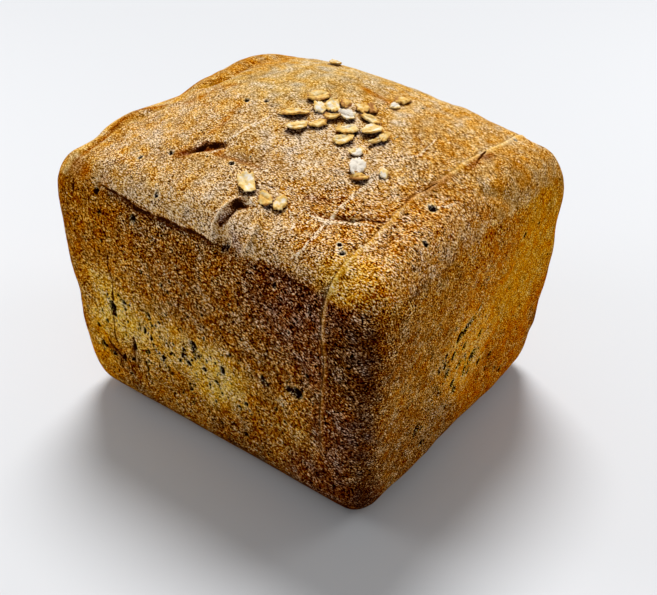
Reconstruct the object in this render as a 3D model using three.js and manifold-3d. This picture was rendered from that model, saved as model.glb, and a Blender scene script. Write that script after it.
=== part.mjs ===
// Tin loaf: a family-size wholemeal loaf, baked in an open tin with flared sides. Its top has risen into a
// low dome with a lip where it met the tin, and rolled oats lie baked onto the crust.
//
// Millimetres. +X runs along the loaf, +Z is up, and the loaf stands on z = 0, the origin under its middle.

import * as THREE from "three";
import { mergeVertices } from "three/addons/utils/BufferGeometryUtils.js";
import Module from "manifold-3d";

// Driving dimensions of the tin's inside, which the four sides and the foot follow.
const BASE_LENGTH = 143.6;
const BASE_WIDTH = 127.6;
const RIM_LENGTH = 158.8;
const RIM_WIDTH = 134.0;
const SIDE_HEIGHT = 104.7;
const CORNER_RADIUS = 12.2;
const FOOT_RADIUS = 18.2;

// The risen top. The dome peaks off centre, by these shares of the half length and the half width.
const DOME_RISE = 23.5;
const DOME_OFFSET_X = -0.18;
const DOME_OFFSET_Y = 0.17;
const SHOULDER_RADIUS = 21.3;
const TOP_TWIST = 0.33;

// Relief of the crust. The top's own relief fades in between these two heights, and all of it stays clear of
// the flat foot.
const TOP_RELIEF_FROM = 91;
const TOP_RELIEF_FULL = 99;
const FOOT_RELIEF_FROM = 1;
const FOOT_RELIEF_FULL = 14;
const UNEVENNESS = 0.55;

// The seam between two pieces of dough, a thin ridge that crosses the loaf near one end.
const SEAM_X = 58;
const SEAM_LEAN = 0.04;
const SEAM_HEIGHT = 0.7;
const SEAM_HALF_WIDTH = 1.8;
const SEAM_FADES_AT = 20;

// The lip along the end at -X: a groove, and the raised edge outside it, in two runs that meet at a step.
const LIP_GROOVE_DEPTH = 1.2;
const LIP_GROOVE_WIDTH = 3.0;
const LIP_WIDTH = 11;
const LIP_ENDS = 6;
const LIP_RUNS = [
  { height: 0.2, groove: [[-64, -62], [-64, -42], [-57, -26], [-44, -18]] },
  { height: 1.2, groove: [[-45, -12], [-39, 0], [-44, 18], [-45, 36], [-38, 50]] },
];

// Folds and tears in the top skin, each with a fold line from one point to another.
const FOLDS = [
  { from: [-21, -43], to: [-10, -36], depth: 1.6, width: 2.6 },
  { from: [-9, -40], to: [6, -37], depth: 0.7, width: 3.0 },
  { from: [-24, -38], to: [-19, -25], depth: 0.5, width: 3.5 },
  { from: [36, -44], to: [48, -39], depth: 0.7, width: 2.6 },
  { from: [48, -39], to: [58, -30], depth: 0.6, width: 2.6 },
  { from: [-50, -63], to: [4, -64], depth: 0.6, width: 2.4 },
  { from: [70, 8], to: [76, 22], depth: 1.1, width: 3.0 },
];

// A burst blister near the top's front edge: a raised rim, with a hollow inside it.
const BLISTER = { x: 15.5, y: -59.5, halfLength: 8, halfWidth: 9, rim: 1.0, hollow: 1.3 };

// Broad swellings, each [x, y, z, reach, height].
const SWELLINGS = [
  [-67, -32, 110, 13, 1.9],
  [-64, -4, 114, 11, -2.8],
  [-54, 29, 119, 13, 1.9],
  [33, 55, 111, 11, 1.0],
  [74, 60, 90, 18, 0.5],
  [75, 59, 60, 20, 0.9],
  [-73, -62, 82, 14, -0.8],
  [-68, -62, 30, 14, 0.8],
  [66, -63, 15, 5, 1.0],
  [72, 52, 17, 10, -1.8],
];

// Open pits, each [across, height, radius, stretch], where across is X on the long side at -Y and on its
// shoulder, and Y on the end at +X; and each [x, y, radius] on top. The two far sides have theirs at random.
const FRONT_PITS = [
  [-47, 50, 1.7, 1.6], [-40, 55, 1.5, 1], [-27, 54, 1.3, 1.9], [-27, 45, 1.2, 1], [-4, 51, 2.0, 1],
  [-21, 38, 1.4, 1], [-8, 41, 1.5, 1], [10, 46, 1.4, 1.5], [6, 38, 1.3, 1], [44, 52, 2.4, 1],
  [-37, 36, 1.4, 2], [19, 19, 1.6, 1], [-30, 95, 1.7, 1], [29, 51, 1.4, 1.6],
];
const END_PITS = [
  [-8, 61, 1.4, 1.5], [-12, 60, 1.2, 2], [2, 43, 1.6, 1.4], [-3, 38, 1.3, 1.6], [-33, 29, 1.8, 1.7],
  [17, 33, 1.3, 1], [-10, 34, 1.2, 1],
];
const TOP_PITS = [[-19, -14, 1.4], [-12.5, -10, 1.3], [-2, -41, 1.2], [64, -16, 1.7]];
const SHOULDER_PITS = [[13, 98, 2.0, 1], [17, 97, 1.8, 1]];
const HIDDEN_PITS_A_SIDE = 9;
const HIDDEN_PIT_RADIUS = [1.2, 2.0];
const HIDDEN_PIT_STRETCH = [1, 1.6];
const HIDDEN_PIT_SPAN = 0.75;
const PIT_SINK = 0.3;

// Rolled oats on the dome, each [x, y, length, width, heading in degrees, lift of one long edge in degrees].
const OAT_THICKNESS = 1.5;
const OAT_RAISED = 0.25;
const OATS = [
  [1.8, 3.4, 10.2, 5.2, 46, 12], [6.2, -2.6, 7.4, 6.4, 105, 24], [10.2, 0.6, 7.0, 6.4, 30, 16],
  [12.4, 5.6, 5.2, 4.6, 60, 10], [-2.6, -13.2, 6.6, 5.0, 38, 14], [3.6, -9.8, 6.8, 5.0, 30, 16],
  [4.6, -17.2, 8.0, 5.4, 44, 18], [11.2, -10.6, 9.6, 4.4, 44, 14], [14.2, -4.8, 5.6, 3.6, 30, 10],
  [16.9, -0.8, 7.2, 5.8, 24, 16], [17.6, 7.2, 6.0, 5.0, 40, 14], [21.0, 11.4, 5.4, 4.6, 60, 8],
  [23.4, 3.8, 7.8, 4.8, 22, 14], [20.2, -9.0, 7.4, 5.4, 34, 16], [24.2, -3.4, 6.0, 5.0, 50, 16],
  [27.6, 0.2, 8.2, 5.0, 44, 26], [32.6, -1.0, 6.8, 5.0, 62, 16], [24.6, -10.4, 8.6, 4.8, 36, 14],
  [29.8, -14.2, 6.0, 4.4, 44, 16], [36.0, -19.6, 8.6, 7.2, 50, 22], [43.0, -15.4, 4.6, 4.4, 60, 14],
  [9.6, -45.2, 8.8, 8.4, 84, 18], [19.4, -47.8, 7.0, 6.0, 20, 14], [24.6, -46.6, 6.4, 5.6, 70, 16],
  [21.8, 27.0, 7.2, 4.6, 34, 12], [24.0, 19.8, 4.6, 3.8, 40, 10], [-13.8, 32.4, 5.0, 4.2, 50, 12],
];

// Facets. The crust is a grid on the six faces of a cube, with narrow cells where its edges are rounded.
const CELL = 4.6;
const SIDE_CELL = 8.2;
const ROUND_CELLS = 3;
const OAT_SIDES = 8;
const OAT_RINGS = 3;
const SEED = 7;

const HALF_HEIGHT = SIDE_HEIGHT / 2;
const HALF_LENGTH = (BASE_LENGTH + RIM_LENGTH) / 4;
const HALF_WIDTH = (BASE_WIDTH + RIM_WIDTH) / 4;

const { clamp, degToRad, lerp, smoothstep } = THREE.MathUtils;

// The place on the smooth crust of the point (cx, cy, cz) on the surface of the cube from -1 to 1.
function crustPoint(cx, cy, cz) {
  const edgeHeight = cz > 0 ? SHOULDER_RADIUS : FOOT_RADIUS;
  const radii = new THREE.Vector3(CORNER_RADIUS, CORNER_RADIUS, edgeHeight);
  const halves = new THREE.Vector3(HALF_LENGTH, HALF_WIDTH, HALF_HEIGHT);
  const limit = halves.clone().sub(radii);
  const onBox = new THREE.Vector3(cx, cy, cz).multiply(halves);
  const inner = onBox.clone().clamp(limit.clone().negate(), limit);
  const point = onBox.sub(inner).divide(radii).normalize().multiply(radii).add(inner);

  const rise = (point.z / HALF_HEIGHT + 1) / 2;
  const halfLength = lerp(BASE_LENGTH, RIM_LENGTH, rise) / 2;
  const halfWidth = lerp(BASE_WIDTH, RIM_WIDTH, rise) / 2;
  const u = point.x / HALF_LENGTH;
  const v = point.y / HALF_WIDTH;
  return new THREE.Vector3(u * halfLength, v * halfWidth, point.z + HALF_HEIGHT + domeLift(u, v, rise));
}

// How far the risen top lifts a point, from its shares u and v of the half sizes and rise of the height.
function domeLift(u, v, rise) {
  const along = u - DOME_OFFSET_X * (1 - u * u);
  const across = v - DOME_OFFSET_Y * (1 - v * v);
  const dome = DOME_RISE * (1 - along * along) * (1 - across * across);
  const twist = -TOP_TWIST * u * (1 - v);
  return smoothstep(rise, 0.1, 1) * (dome + twist);
}

// How far the crust stands out from its smooth form at a point.
function relief(point) {
  const { x, y, z } = point;
  const onTop = smoothstep(z, TOP_RELIEF_FROM, TOP_RELIEF_FULL);
  let height = unevenness(x, y, z) + seamRidge(x, z) + onTop * (lip(x, y) + blister(x, y));
  for (const fold of FOLDS) {
    height -= onTop * fold.depth * bell(distanceToLine([x, y], fold.from, fold.to) / fold.width);
  }
  for (const [sx, sy, sz, reach, rise] of SWELLINGS) {
    height += rise * bell(Math.hypot(x - sx, y - sy, z - sz) / reach);
  }
  return height * smoothstep(z, FOOT_RELIEF_FROM, FOOT_RELIEF_FULL);
}

function unevenness(x, y, z) {
  const broad = Math.sin(0.071 * x + 0.043 * y + 0.9) * Math.sin(0.063 * y - 0.058 * z + 0.4);
  const middle = Math.sin(0.128 * x - 0.094 * z + 2.1) * Math.sin(0.117 * y + 0.083 * z + 1.3);
  const small = Math.sin(0.21 * x + 0.16 * y + 0.19 * z) * Math.sin(0.18 * x - 0.23 * y + 0.14 * z + 0.7);
  return UNEVENNESS * (broad + 0.7 * middle + 0.5 * small);
}

function seamRidge(x, z) {
  const middle = SEAM_X - SEAM_LEAN * Math.max(SIDE_HEIGHT - z, 0);
  const shape = Math.max(0, 1 - Math.abs(x - middle) / SEAM_HALF_WIDTH);
  return SEAM_HEIGHT * shape * smoothstep(z, SEAM_FADES_AT, 2 * SEAM_FADES_AT);
}

function lip(x, y) {
  let height = 0;
  for (const run of LIP_RUNS) {
    const firstY = run.groove[0][1];
    const lastY = run.groove.at(-1)[1];
    if (y <= firstY || y >= lastY) continue;
    const next = run.groove.findIndex(([, grooveY]) => grooveY >= y);
    const [from, to] = [run.groove[next - 1], run.groove[next]];
    const outside = lerp(from[0], to[0], (y - from[1]) / (to[1] - from[1])) - x;
    const ends = smoothstep(y, firstY, firstY + LIP_ENDS) * smoothstep(-y, -lastY, LIP_ENDS - lastY);
    height -= ends * LIP_GROOVE_DEPTH * bell(outside / LIP_GROOVE_WIDTH);
    height += ends * run.height * bell((outside - LIP_WIDTH / 2) / (LIP_WIDTH / 2));
  }
  return height;
}

function blister(x, y) {
  const across = (x - BLISTER.x) / BLISTER.halfLength;
  const along = (y - BLISTER.y) / BLISTER.halfWidth;
  const reach = Math.hypot(across, along);
  const leftHalf = smoothstep(-across, -0.3, 0.5);
  return BLISTER.rim * bell((reach - 1) / 0.3) - BLISTER.hollow * leftHalf * bell((reach - 0.65) / 0.35);
}

// A smooth bump that is 1 at 0 and all but gone at 2.
function bell(t) {
  return Math.exp(-t * t * 1.5);
}

function distanceToLine([x, y], [fromX, fromY], [toX, toY]) {
  const [dx, dy] = [toX - fromX, toY - fromY];
  const share = clamp(((x - fromX) * dx + (y - fromY) * dy) / (dx * dx + dy * dy), 0, 1);
  return Math.hypot(x - fromX - share * dx, y - fromY - share * dy);
}

// Grid lines from -1 to 1 across one axis of the cube: even cells on the flat stretch, and narrow cells over
// the rounded edges at either end.
function gridLines(flatFrom, flatTo, flatLength, cell) {
  const flatCells = Math.round(flatLength / cell);
  const lines = [];
  for (let i = 0; i < ROUND_CELLS; i += 1) lines.push(lerp(-1, flatFrom, i / ROUND_CELLS));
  for (let i = 0; i <= flatCells; i += 1) lines.push(lerp(flatFrom, flatTo, i / flatCells));
  for (let i = 1; i <= ROUND_CELLS; i += 1) lines.push(lerp(flatTo, 1, i / ROUND_CELLS));
  return lines;
}

const flatX = 1 - CORNER_RADIUS / HALF_LENGTH;
const flatY = 1 - CORNER_RADIUS / HALF_WIDTH;
const flatFoot = FOOT_RADIUS / HALF_HEIGHT - 1;
const flatShoulder = 1 - SHOULDER_RADIUS / HALF_HEIGHT;
const flatSide = SIDE_HEIGHT - FOOT_RADIUS - SHOULDER_RADIUS;
const seamLine = (2 * SEAM_X) / RIM_LENGTH;
const seamStep = (2 * SEAM_HALF_WIDTH) / RIM_LENGTH;

const linesX = gridLines(-flatX, flatX, flatX * RIM_LENGTH, CELL)
  .filter((line) => Math.abs(line - seamLine) > 1.5 * seamStep)
  .concat([seamLine - seamStep, seamLine, seamLine + seamStep])
  .sort((a, b) => a - b);
const linesY = gridLines(-flatY, flatY, flatY * RIM_WIDTH, CELL);
const linesZ = gridLines(flatFoot, flatShoulder, flatSide, SIDE_CELL);

// One face of the cube, as loose triangles: place(a, b) gives the cube point of two grid values. A cell that
// keep turns down is left open.
function addFace(corners, linesA, linesB, place, flipped, keep = () => true) {
  for (let i = 0; i + 1 < linesA.length; i += 1) {
    for (let j = 0; j + 1 < linesB.length; j += 1) {
      const [a0, a1, b0, b1] = [linesA[i], linesA[i + 1], linesB[j], linesB[j + 1]];
      if (!keep((a0 + a1) / 2, (b0 + b1) / 2)) continue;
      const [p, q, r, s] = [place(a0, b0), place(a1, b0), place(a1, b1), place(a0, b1)];
      const cell = flipped ? [p, r, q, p, s, r] : [p, q, r, p, r, s];
      for (const cubePoint of cell) corners.push(...crustPoint(...cubePoint));
    }
  }
}

// The flat the loaf stands on, as a fan of triangles from its middle out to the grid's inner edge.
function addStandingFlat(corners) {
  const acrossX = linesX.filter((line) => Math.abs(line) <= flatX + 1e-9);
  const acrossY = linesY.filter((line) => Math.abs(line) <= flatY + 1e-9);
  const edge = [
    ...acrossX.map((x) => [x, -flatY, -1]),
    ...acrossY.slice(1).map((y) => [flatX, y, -1]),
    ...acrossX.toReversed().slice(1).map((x) => [x, flatY, -1]),
    ...acrossY.toReversed().slice(1, -1).map((y) => [-flatX, y, -1]),
  ];
  edge.forEach((point, i) => {
    const next = edge[(i + 1) % edge.length];
    corners.push(0, 0, 0, ...crustPoint(...next), ...crustPoint(...point));
  });
}

function crustGeometry() {
  const corners = [];
  const offFlat = (x, y) => Math.abs(x) > flatX || Math.abs(y) > flatY;
  addFace(corners, linesX, linesY, (a, b) => [a, b, 1], false);
  addFace(corners, linesX, linesY, (a, b) => [a, b, -1], true, offFlat);
  addFace(corners, linesX, linesZ, (a, b) => [a, -1, b], false);
  addFace(corners, linesX, linesZ, (a, b) => [a, 1, b], true);
  addFace(corners, linesY, linesZ, (a, b) => [1, a, b], false);
  addFace(corners, linesY, linesZ, (a, b) => [-1, a, b], true);
  addStandingFlat(corners);
  const loose = new THREE.BufferGeometry();
  loose.setAttribute("position", new THREE.Float32BufferAttribute(corners, 3));
  const geometry = mergeVertices(loose);
  geometry.computeVertexNormals();
  const position = geometry.getAttribute("position");
  const normal = geometry.getAttribute("normal");
  for (let i = 0; i < position.count; i += 1) {
    const point = new THREE.Vector3().fromBufferAttribute(position, i);
    const outward = new THREE.Vector3().fromBufferAttribute(normal, i);
    point.addScaledVector(outward, relief(point));
    position.setXYZ(i, point.x, point.y, point.z);
  }
  geometry.deleteAttribute("normal");
  return geometry;
}

// The first point of the crust that a ray meets, with the crust's outward normal there.
function crustAt(crust, origin, direction) {
  const ray = new THREE.Raycaster(new THREE.Vector3(...origin), new THREE.Vector3(...direction));
  const [hit] = ray.intersectObject(crust);
  return { point: hit.point, normal: hit.face.normal };
}

// One rolled oat: a thin oval, lying on the crust with one long edge lifted.
function oatGeometry(crust, [x, y, length, width, heading, lift]) {
  const { point, normal } = crustAt(crust, [x, y, 2 * SIDE_HEIGHT], [0, 0, -1]);
  const oat = new THREE.SphereGeometry(1, OAT_SIDES, OAT_RINGS).rotateX(Math.PI / 2);
  oat.scale(length / 2, width / 2, OAT_THICKNESS / 2);
  oat.rotateX(degToRad(lift));
  const angle = degToRad(heading);
  const across = new THREE.Vector3(-Math.sin(angle), Math.cos(angle), 0);
  const along = across.clone().cross(normal).normalize();
  const sideways = normal.clone().cross(along);
  oat.applyMatrix4(new THREE.Matrix4().makeBasis(along, sideways, normal));
  const raised = OAT_RAISED * OAT_THICKNESS + (width / 4) * Math.sin(degToRad(lift));
  const centre = point.clone().addScaledVector(normal, raised);
  return oat.translate(centre.x, centre.y, centre.z);
}

// The round body that one open pit takes out of the crust, longer than it is wide by its stretch in height.
function pitGeometry(crust, origin, direction, radius, stretch = 1) {
  const { point, normal } = crustAt(crust, origin, direction);
  const pit = new THREE.IcosahedronGeometry(radius, 0).scale(1, 1, stretch);
  const centre = point.clone().addScaledVector(normal, -PIT_SINK * radius);
  return pit.translate(centre.x, centre.y, centre.z);
}

// A repeatable row of random numbers from 0 to 1.
function randomRow(seed) {
  let state = seed;
  return () => {
    state = (state * 1664525 + 1013904223) % 4294967296;
    return state / 4294967296;
  };
}

function allPits(crust) {
  const random = randomRow(SEED);
  const reach = RIM_LENGTH;
  const front = ([x, z, radius, stretch]) => pitGeometry(crust, [x, -reach, z], [0, 1, 0], radius, stretch);
  const back = ([x, z, radius, stretch]) => pitGeometry(crust, [x, reach, z], [0, -1, 0], radius, stretch);
  const end = ([y, z, radius, stretch]) => pitGeometry(crust, [reach, y, z], [-1, 0, 0], radius, stretch);
  const farEnd = ([y, z, radius, stretch]) => pitGeometry(crust, [-reach, y, z], [1, 0, 0], radius, stretch);
  const top = ([x, y, radius]) => pitGeometry(crust, [x, y, reach], [0, 0, -1], radius);
  const scatter = (width) =>
    Array.from({ length: HIDDEN_PITS_A_SIDE }, () => [
      (random() - 0.5) * HIDDEN_PIT_SPAN * width,
      lerp(FOOT_RADIUS, SIDE_HEIGHT - SHOULDER_RADIUS, random() ** 1.5),
      lerp(...HIDDEN_PIT_RADIUS, random()),
      lerp(...HIDDEN_PIT_STRETCH, random()),
    ]);
  return [
    ...FRONT_PITS.map(front),
    ...SHOULDER_PITS.map(front),
    ...END_PITS.map(end),
    ...TOP_PITS.map(top),
    ...scatter(BASE_LENGTH).map(back),
    ...scatter(BASE_WIDTH).map(farEnd),
  ];
}

const wasm = await Module();
wasm.setup();

function toSolid(geometry) {
  geometry.deleteAttribute("normal");
  geometry.deleteAttribute("uv");
  const merged = mergeVertices(geometry);
  const vertProperties = Float32Array.from(merged.getAttribute("position").array);
  const triVerts = Uint32Array.from(merged.index.array);
  return new wasm.Manifold(new wasm.Mesh({ numProp: 3, vertProperties, triVerts }));
}

function toGeometry(solid) {
  const { vertProperties, triVerts } = solid.getMesh();
  const geometry = new THREE.BufferGeometry();
  geometry.setAttribute("position", new THREE.BufferAttribute(vertProperties, 3));
  geometry.setIndex(new THREE.BufferAttribute(triVerts, 1));
  return geometry;
}

function loafMesh() {
  const material = new THREE.MeshStandardMaterial({ color: 0x8f6030, roughness: 0.85, metalness: 0 });
  const crust = new THREE.Mesh(crustGeometry(), material);
  let solid = toSolid(crust.geometry.clone());
  for (const pit of allPits(crust)) solid = solid.subtract(toSolid(pit));
  for (const oat of OATS) solid = solid.add(toSolid(oatGeometry(crust, oat)));
  const loaf = new THREE.Mesh(toGeometry(solid), material);
  loaf.name = "loaf";
  return loaf;
}

const group = new THREE.Group();
group.add(loafMesh());

export default group;
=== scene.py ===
"""The looks of the tin loaf: its crust, the oats baked onto it, and a plain studio around it.

The loaf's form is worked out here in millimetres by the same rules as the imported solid, on a far finer grid,
and turned into metres when a mesh is made. +X runs along the loaf, +Y across it, and it stands on z = 0.
"""

import itertools
import math

import bpy
import numpy as np
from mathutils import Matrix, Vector


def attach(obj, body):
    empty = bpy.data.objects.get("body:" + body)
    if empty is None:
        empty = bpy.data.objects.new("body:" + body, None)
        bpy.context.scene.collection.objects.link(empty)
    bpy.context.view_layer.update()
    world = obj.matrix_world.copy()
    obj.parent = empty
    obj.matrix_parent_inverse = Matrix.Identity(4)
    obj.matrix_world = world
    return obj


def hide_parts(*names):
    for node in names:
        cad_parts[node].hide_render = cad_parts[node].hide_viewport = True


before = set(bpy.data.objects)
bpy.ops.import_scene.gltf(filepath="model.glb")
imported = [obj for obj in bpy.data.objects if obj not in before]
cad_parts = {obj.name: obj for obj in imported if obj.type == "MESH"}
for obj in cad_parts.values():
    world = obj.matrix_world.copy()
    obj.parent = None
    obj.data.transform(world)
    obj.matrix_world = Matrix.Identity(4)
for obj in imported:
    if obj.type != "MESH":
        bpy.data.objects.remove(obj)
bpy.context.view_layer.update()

MM = 0.001

# ---------------------------------------------------------------- the loaf's form, in millimetres

BASE_LENGTH = 143.6
BASE_WIDTH = 127.6
RIM_LENGTH = 158.8
RIM_WIDTH = 134.0
SIDE_HEIGHT = 104.7
CORNER_RADIUS = 12.2
FOOT_RADIUS = 18.2
DOME_RISE = 23.5
DOME_OFFSET = (-0.18, 0.17)
SHOULDER_RADIUS = 21.3
TOP_TWIST = 0.33

HALF_HEIGHT = SIDE_HEIGHT / 2
HALF_LENGTH = (BASE_LENGTH + RIM_LENGTH) / 4
HALF_WIDTH = (BASE_WIDTH + RIM_WIDTH) / 4
HALVES = np.array([HALF_LENGTH, HALF_WIDTH, HALF_HEIGHT])

TOP_RELIEF = (91, 99)
FOOT_RELIEF = (1, 14)
UNEVENNESS = 0.55

SEAM_X = 58
SEAM_LEAN = 0.04
SEAM_HEIGHT = 0.5
SEAM_HALF_WIDTH = 0.6
SEAM_WANDER = 0.9
SEAM_FADES_AT = 20

LIP_GROOVE_DEPTH = 1.2
LIP_GROOVE_WIDTH = 2.2
LIP_WIDTH = 11
LIP_ENDS = 6
LIP_RUNS = [
    (0.2, [(-64, -62), (-64, -42), (-57, -26), (-44, -18)]),
    (1.2, [(-45, -12), (-39, 0), (-44, 18), (-45, 36), (-38, 50)]),
]

# Folds of the top skin: from, to, depth and width.
FOLDS = [
    ((-21, -43), (-10, -36), 1.3, 1.4),
    ((-9, -40), (6, -37), 0.7, 2.2),
    ((-24, -38), (-19, -25), 0.5, 2.8),
    ((36, -44), (48, -39), 0.7, 1.0),
    ((48, -39), (58, -30), 0.6, 1.0),
    ((-50, -63), (4, -64), 0.7, 1.2),
    ((70, 8), (76, 22), 1.1, 2.0),
]

BLISTER_AT = (15.5, -59.5)
BLISTER_HALVES = (8, 9)
BLISTER_RIM = 1.0
BLISTER_RIM_WIDTH = 0.16
BLISTER_HOLLOW = 1.3
BLISTER_HOLLOW_AT = 0.65
BLISTER_HOLLOW_WIDTH = 0.25

# Broad swellings: x, y, z, reach and height.
SWELLINGS = [
    (-67, -32, 110, 13, 1.9),
    (-64, -4, 114, 11, -2.8),
    (-54, 29, 119, 13, 1.9),
    (33, 55, 111, 11, 1.0),
    (74, 60, 90, 18, 0.5),
    (75, 59, 60, 20, 0.9),
    (-73, -62, 82, 14, -0.8),
    (-68, -62, 30, 14, 0.8),
    (66, -63, 15, 5, 1.0),
    (72, 52, 17, 10, -1.8),
]


def smoothstep(value, low, high):
    share = np.clip((value - low) / (high - low), 0, 1)
    return share * share * (3 - 2 * share)


def bell(t):
    """A smooth bump that is 1 at 0 and all but gone at 2."""
    return np.exp(-1.5 * t * t)


def crust_points(cube):
    """The place on the smooth crust of each point on the surface of the cube from -1 to 1."""
    edge = np.where(cube[:, 2] > 0, SHOULDER_RADIUS, FOOT_RADIUS)
    radii = np.stack([np.full(len(cube), CORNER_RADIUS), np.full(len(cube), CORNER_RADIUS), edge], axis=1)
    on_box = cube * HALVES
    inner = np.clip(on_box, radii - HALVES, HALVES - radii)
    outward = (on_box - inner) / radii
    outward /= np.linalg.norm(outward, axis=1, keepdims=True)
    point = inner + outward * radii
    rise = (point[:, 2] / HALF_HEIGHT + 1) / 2
    u = point[:, 0] / HALF_LENGTH
    v = point[:, 1] / HALF_WIDTH
    x = u * (BASE_LENGTH + (RIM_LENGTH - BASE_LENGTH) * rise) / 2
    y = v * (BASE_WIDTH + (RIM_WIDTH - BASE_WIDTH) * rise) / 2
    return np.stack([x, y, point[:, 2] + HALF_HEIGHT + dome_lift(u, v, rise)], axis=1)


def dome_lift(u, v, rise):
    along = u - DOME_OFFSET[0] * (1 - u * u)
    across = v - DOME_OFFSET[1] * (1 - v * v)
    dome = DOME_RISE * (1 - along**2) * (1 - across**2)
    twist = -TOP_TWIST * u * (1 - v)
    return smoothstep(rise, 0.1, 1) * (dome + twist)


# ---------------------------------------------------------------- noise

NOISE_SIDE = 256


def noise_table(seed):
    random = np.random.default_rng(seed)
    order = random.permutation(NOISE_SIDE)
    slopes = random.normal(size=(NOISE_SIDE, 3))
    slopes /= np.linalg.norm(slopes, axis=1, keepdims=True)
    return order, slopes


def noise(points, wavelength, seed):
    """Smooth noise between about -1 and 1 at each point, with bumps about a wavelength apart."""
    order, slopes = noise_table(seed)
    scaled = points / wavelength
    cell = np.floor(scaled).astype(np.int64)
    within = scaled - cell
    fade = within**3 * (within * (within * 6 - 15) + 10)
    total = np.zeros(len(points))
    for corner in itertools.product((0, 1), repeat=3):
        place = cell + corner
        index = order[place[:, 0] % NOISE_SIDE]
        index = order[(index + place[:, 1]) % NOISE_SIDE]
        index = order[(index + place[:, 2]) % NOISE_SIDE]
        slope = np.einsum("ij,ij->i", slopes[index], within - corner)
        weight = np.prod(np.where(corner, fade, 1 - fade), axis=1)
        total += weight * slope
    return 1.6 * total


# ---------------------------------------------------------------- relief of the crust


def unevenness(x, y, z):
    broad = np.sin(0.071 * x + 0.043 * y + 0.9) * np.sin(0.063 * y - 0.058 * z + 0.4)
    middle = np.sin(0.128 * x - 0.094 * z + 2.1) * np.sin(0.117 * y + 0.083 * z + 1.3)
    small = np.sin(0.21 * x + 0.16 * y + 0.19 * z) * np.sin(0.18 * x - 0.23 * y + 0.14 * z + 0.7)
    return UNEVENNESS * (broad + 0.7 * middle + 0.5 * small)


def seam_offset(points):
    """How far each point lies from the middle of the seam, along the loaf."""
    x, y, z = points.T
    wander = SEAM_WANDER * np.sin(0.11 * y + 0.09 * z) * np.sin(0.05 * y - 0.07 * z + 1.0)
    return x - (SEAM_X - SEAM_LEAN * np.maximum(SIDE_HEIGHT - z, 0) + wander)


def seam_shown(z):
    """0 at the foot, where the seam has faded, to 1 where it is whole."""
    return smoothstep(z, SEAM_FADES_AT, 2 * SEAM_FADES_AT)


def seam_ridge(points):
    ridge = SEAM_HEIGHT * bell(seam_offset(points) / SEAM_HALF_WIDTH)
    return ridge * seam_shown(points[:, 2])


def lip(x, y):
    height = np.zeros(len(x))
    for rise, groove in LIP_RUNS:
        groove_x, groove_y = np.array(groove, float).T
        first, last = groove_y[0], groove_y[-1]
        outside = np.interp(y, groove_y, groove_x) - x
        ends = smoothstep(y, first, first + LIP_ENDS) * (1 - smoothstep(y, last - LIP_ENDS, last))
        height -= ends * LIP_GROOVE_DEPTH * bell(outside / LIP_GROOVE_WIDTH)
        height += ends * rise * bell((outside - LIP_WIDTH / 2) / (LIP_WIDTH / 2))
    return height


def way_from_line(x, y, start, end):
    """The way to each point from a straight line's nearest place, and how far along the line that is."""
    dx, dy = end[0] - start[0], end[1] - start[1]
    share = np.clip(((x - start[0]) * dx + (y - start[1]) * dy) / (dx * dx + dy * dy), 0, 1)
    return x - start[0] - share * dx, y - start[1] - share * dy, share


def distance_to_line(x, y, start, end):
    return np.hypot(*way_from_line(x, y, start, end)[:2])


def distance_to_course(x, y, course):
    """How far each point is from a line through several points."""
    return np.min([distance_to_line(x, y, *ends) for ends in zip(course, course[1:])], axis=0)


def blister(x, y):
    across = (x - BLISTER_AT[0]) / BLISTER_HALVES[0]
    along = (y - BLISTER_AT[1]) / BLISTER_HALVES[1]
    reach = np.hypot(across, along)
    left_half = smoothstep(-across, -0.3, 0.5)
    rim = BLISTER_RIM * bell((reach - 1) / BLISTER_RIM_WIDTH)
    return rim - BLISTER_HOLLOW * left_half * bell((reach - BLISTER_HOLLOW_AT) / BLISTER_HOLLOW_WIDTH)


def main_relief(points):
    x, y, z = points.T
    on_top = smoothstep(z, *TOP_RELIEF)
    height = unevenness(x, y, z) + on_top * (lip(x, y) + blister(x, y))
    bend = 1.2 * noise(points, 6, 11)
    for start, end, depth, width in FOLDS:
        height -= on_top * depth * bell((distance_to_line(x, y, start, end) + 0.4 * bend) / width)
    for sx, sy, sz, reach, rise in SWELLINGS:
        height += rise * bell(np.sqrt((x - sx) ** 2 + (y - sy) ** 2 + (z - sz) ** 2) / reach)
    return height


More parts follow.
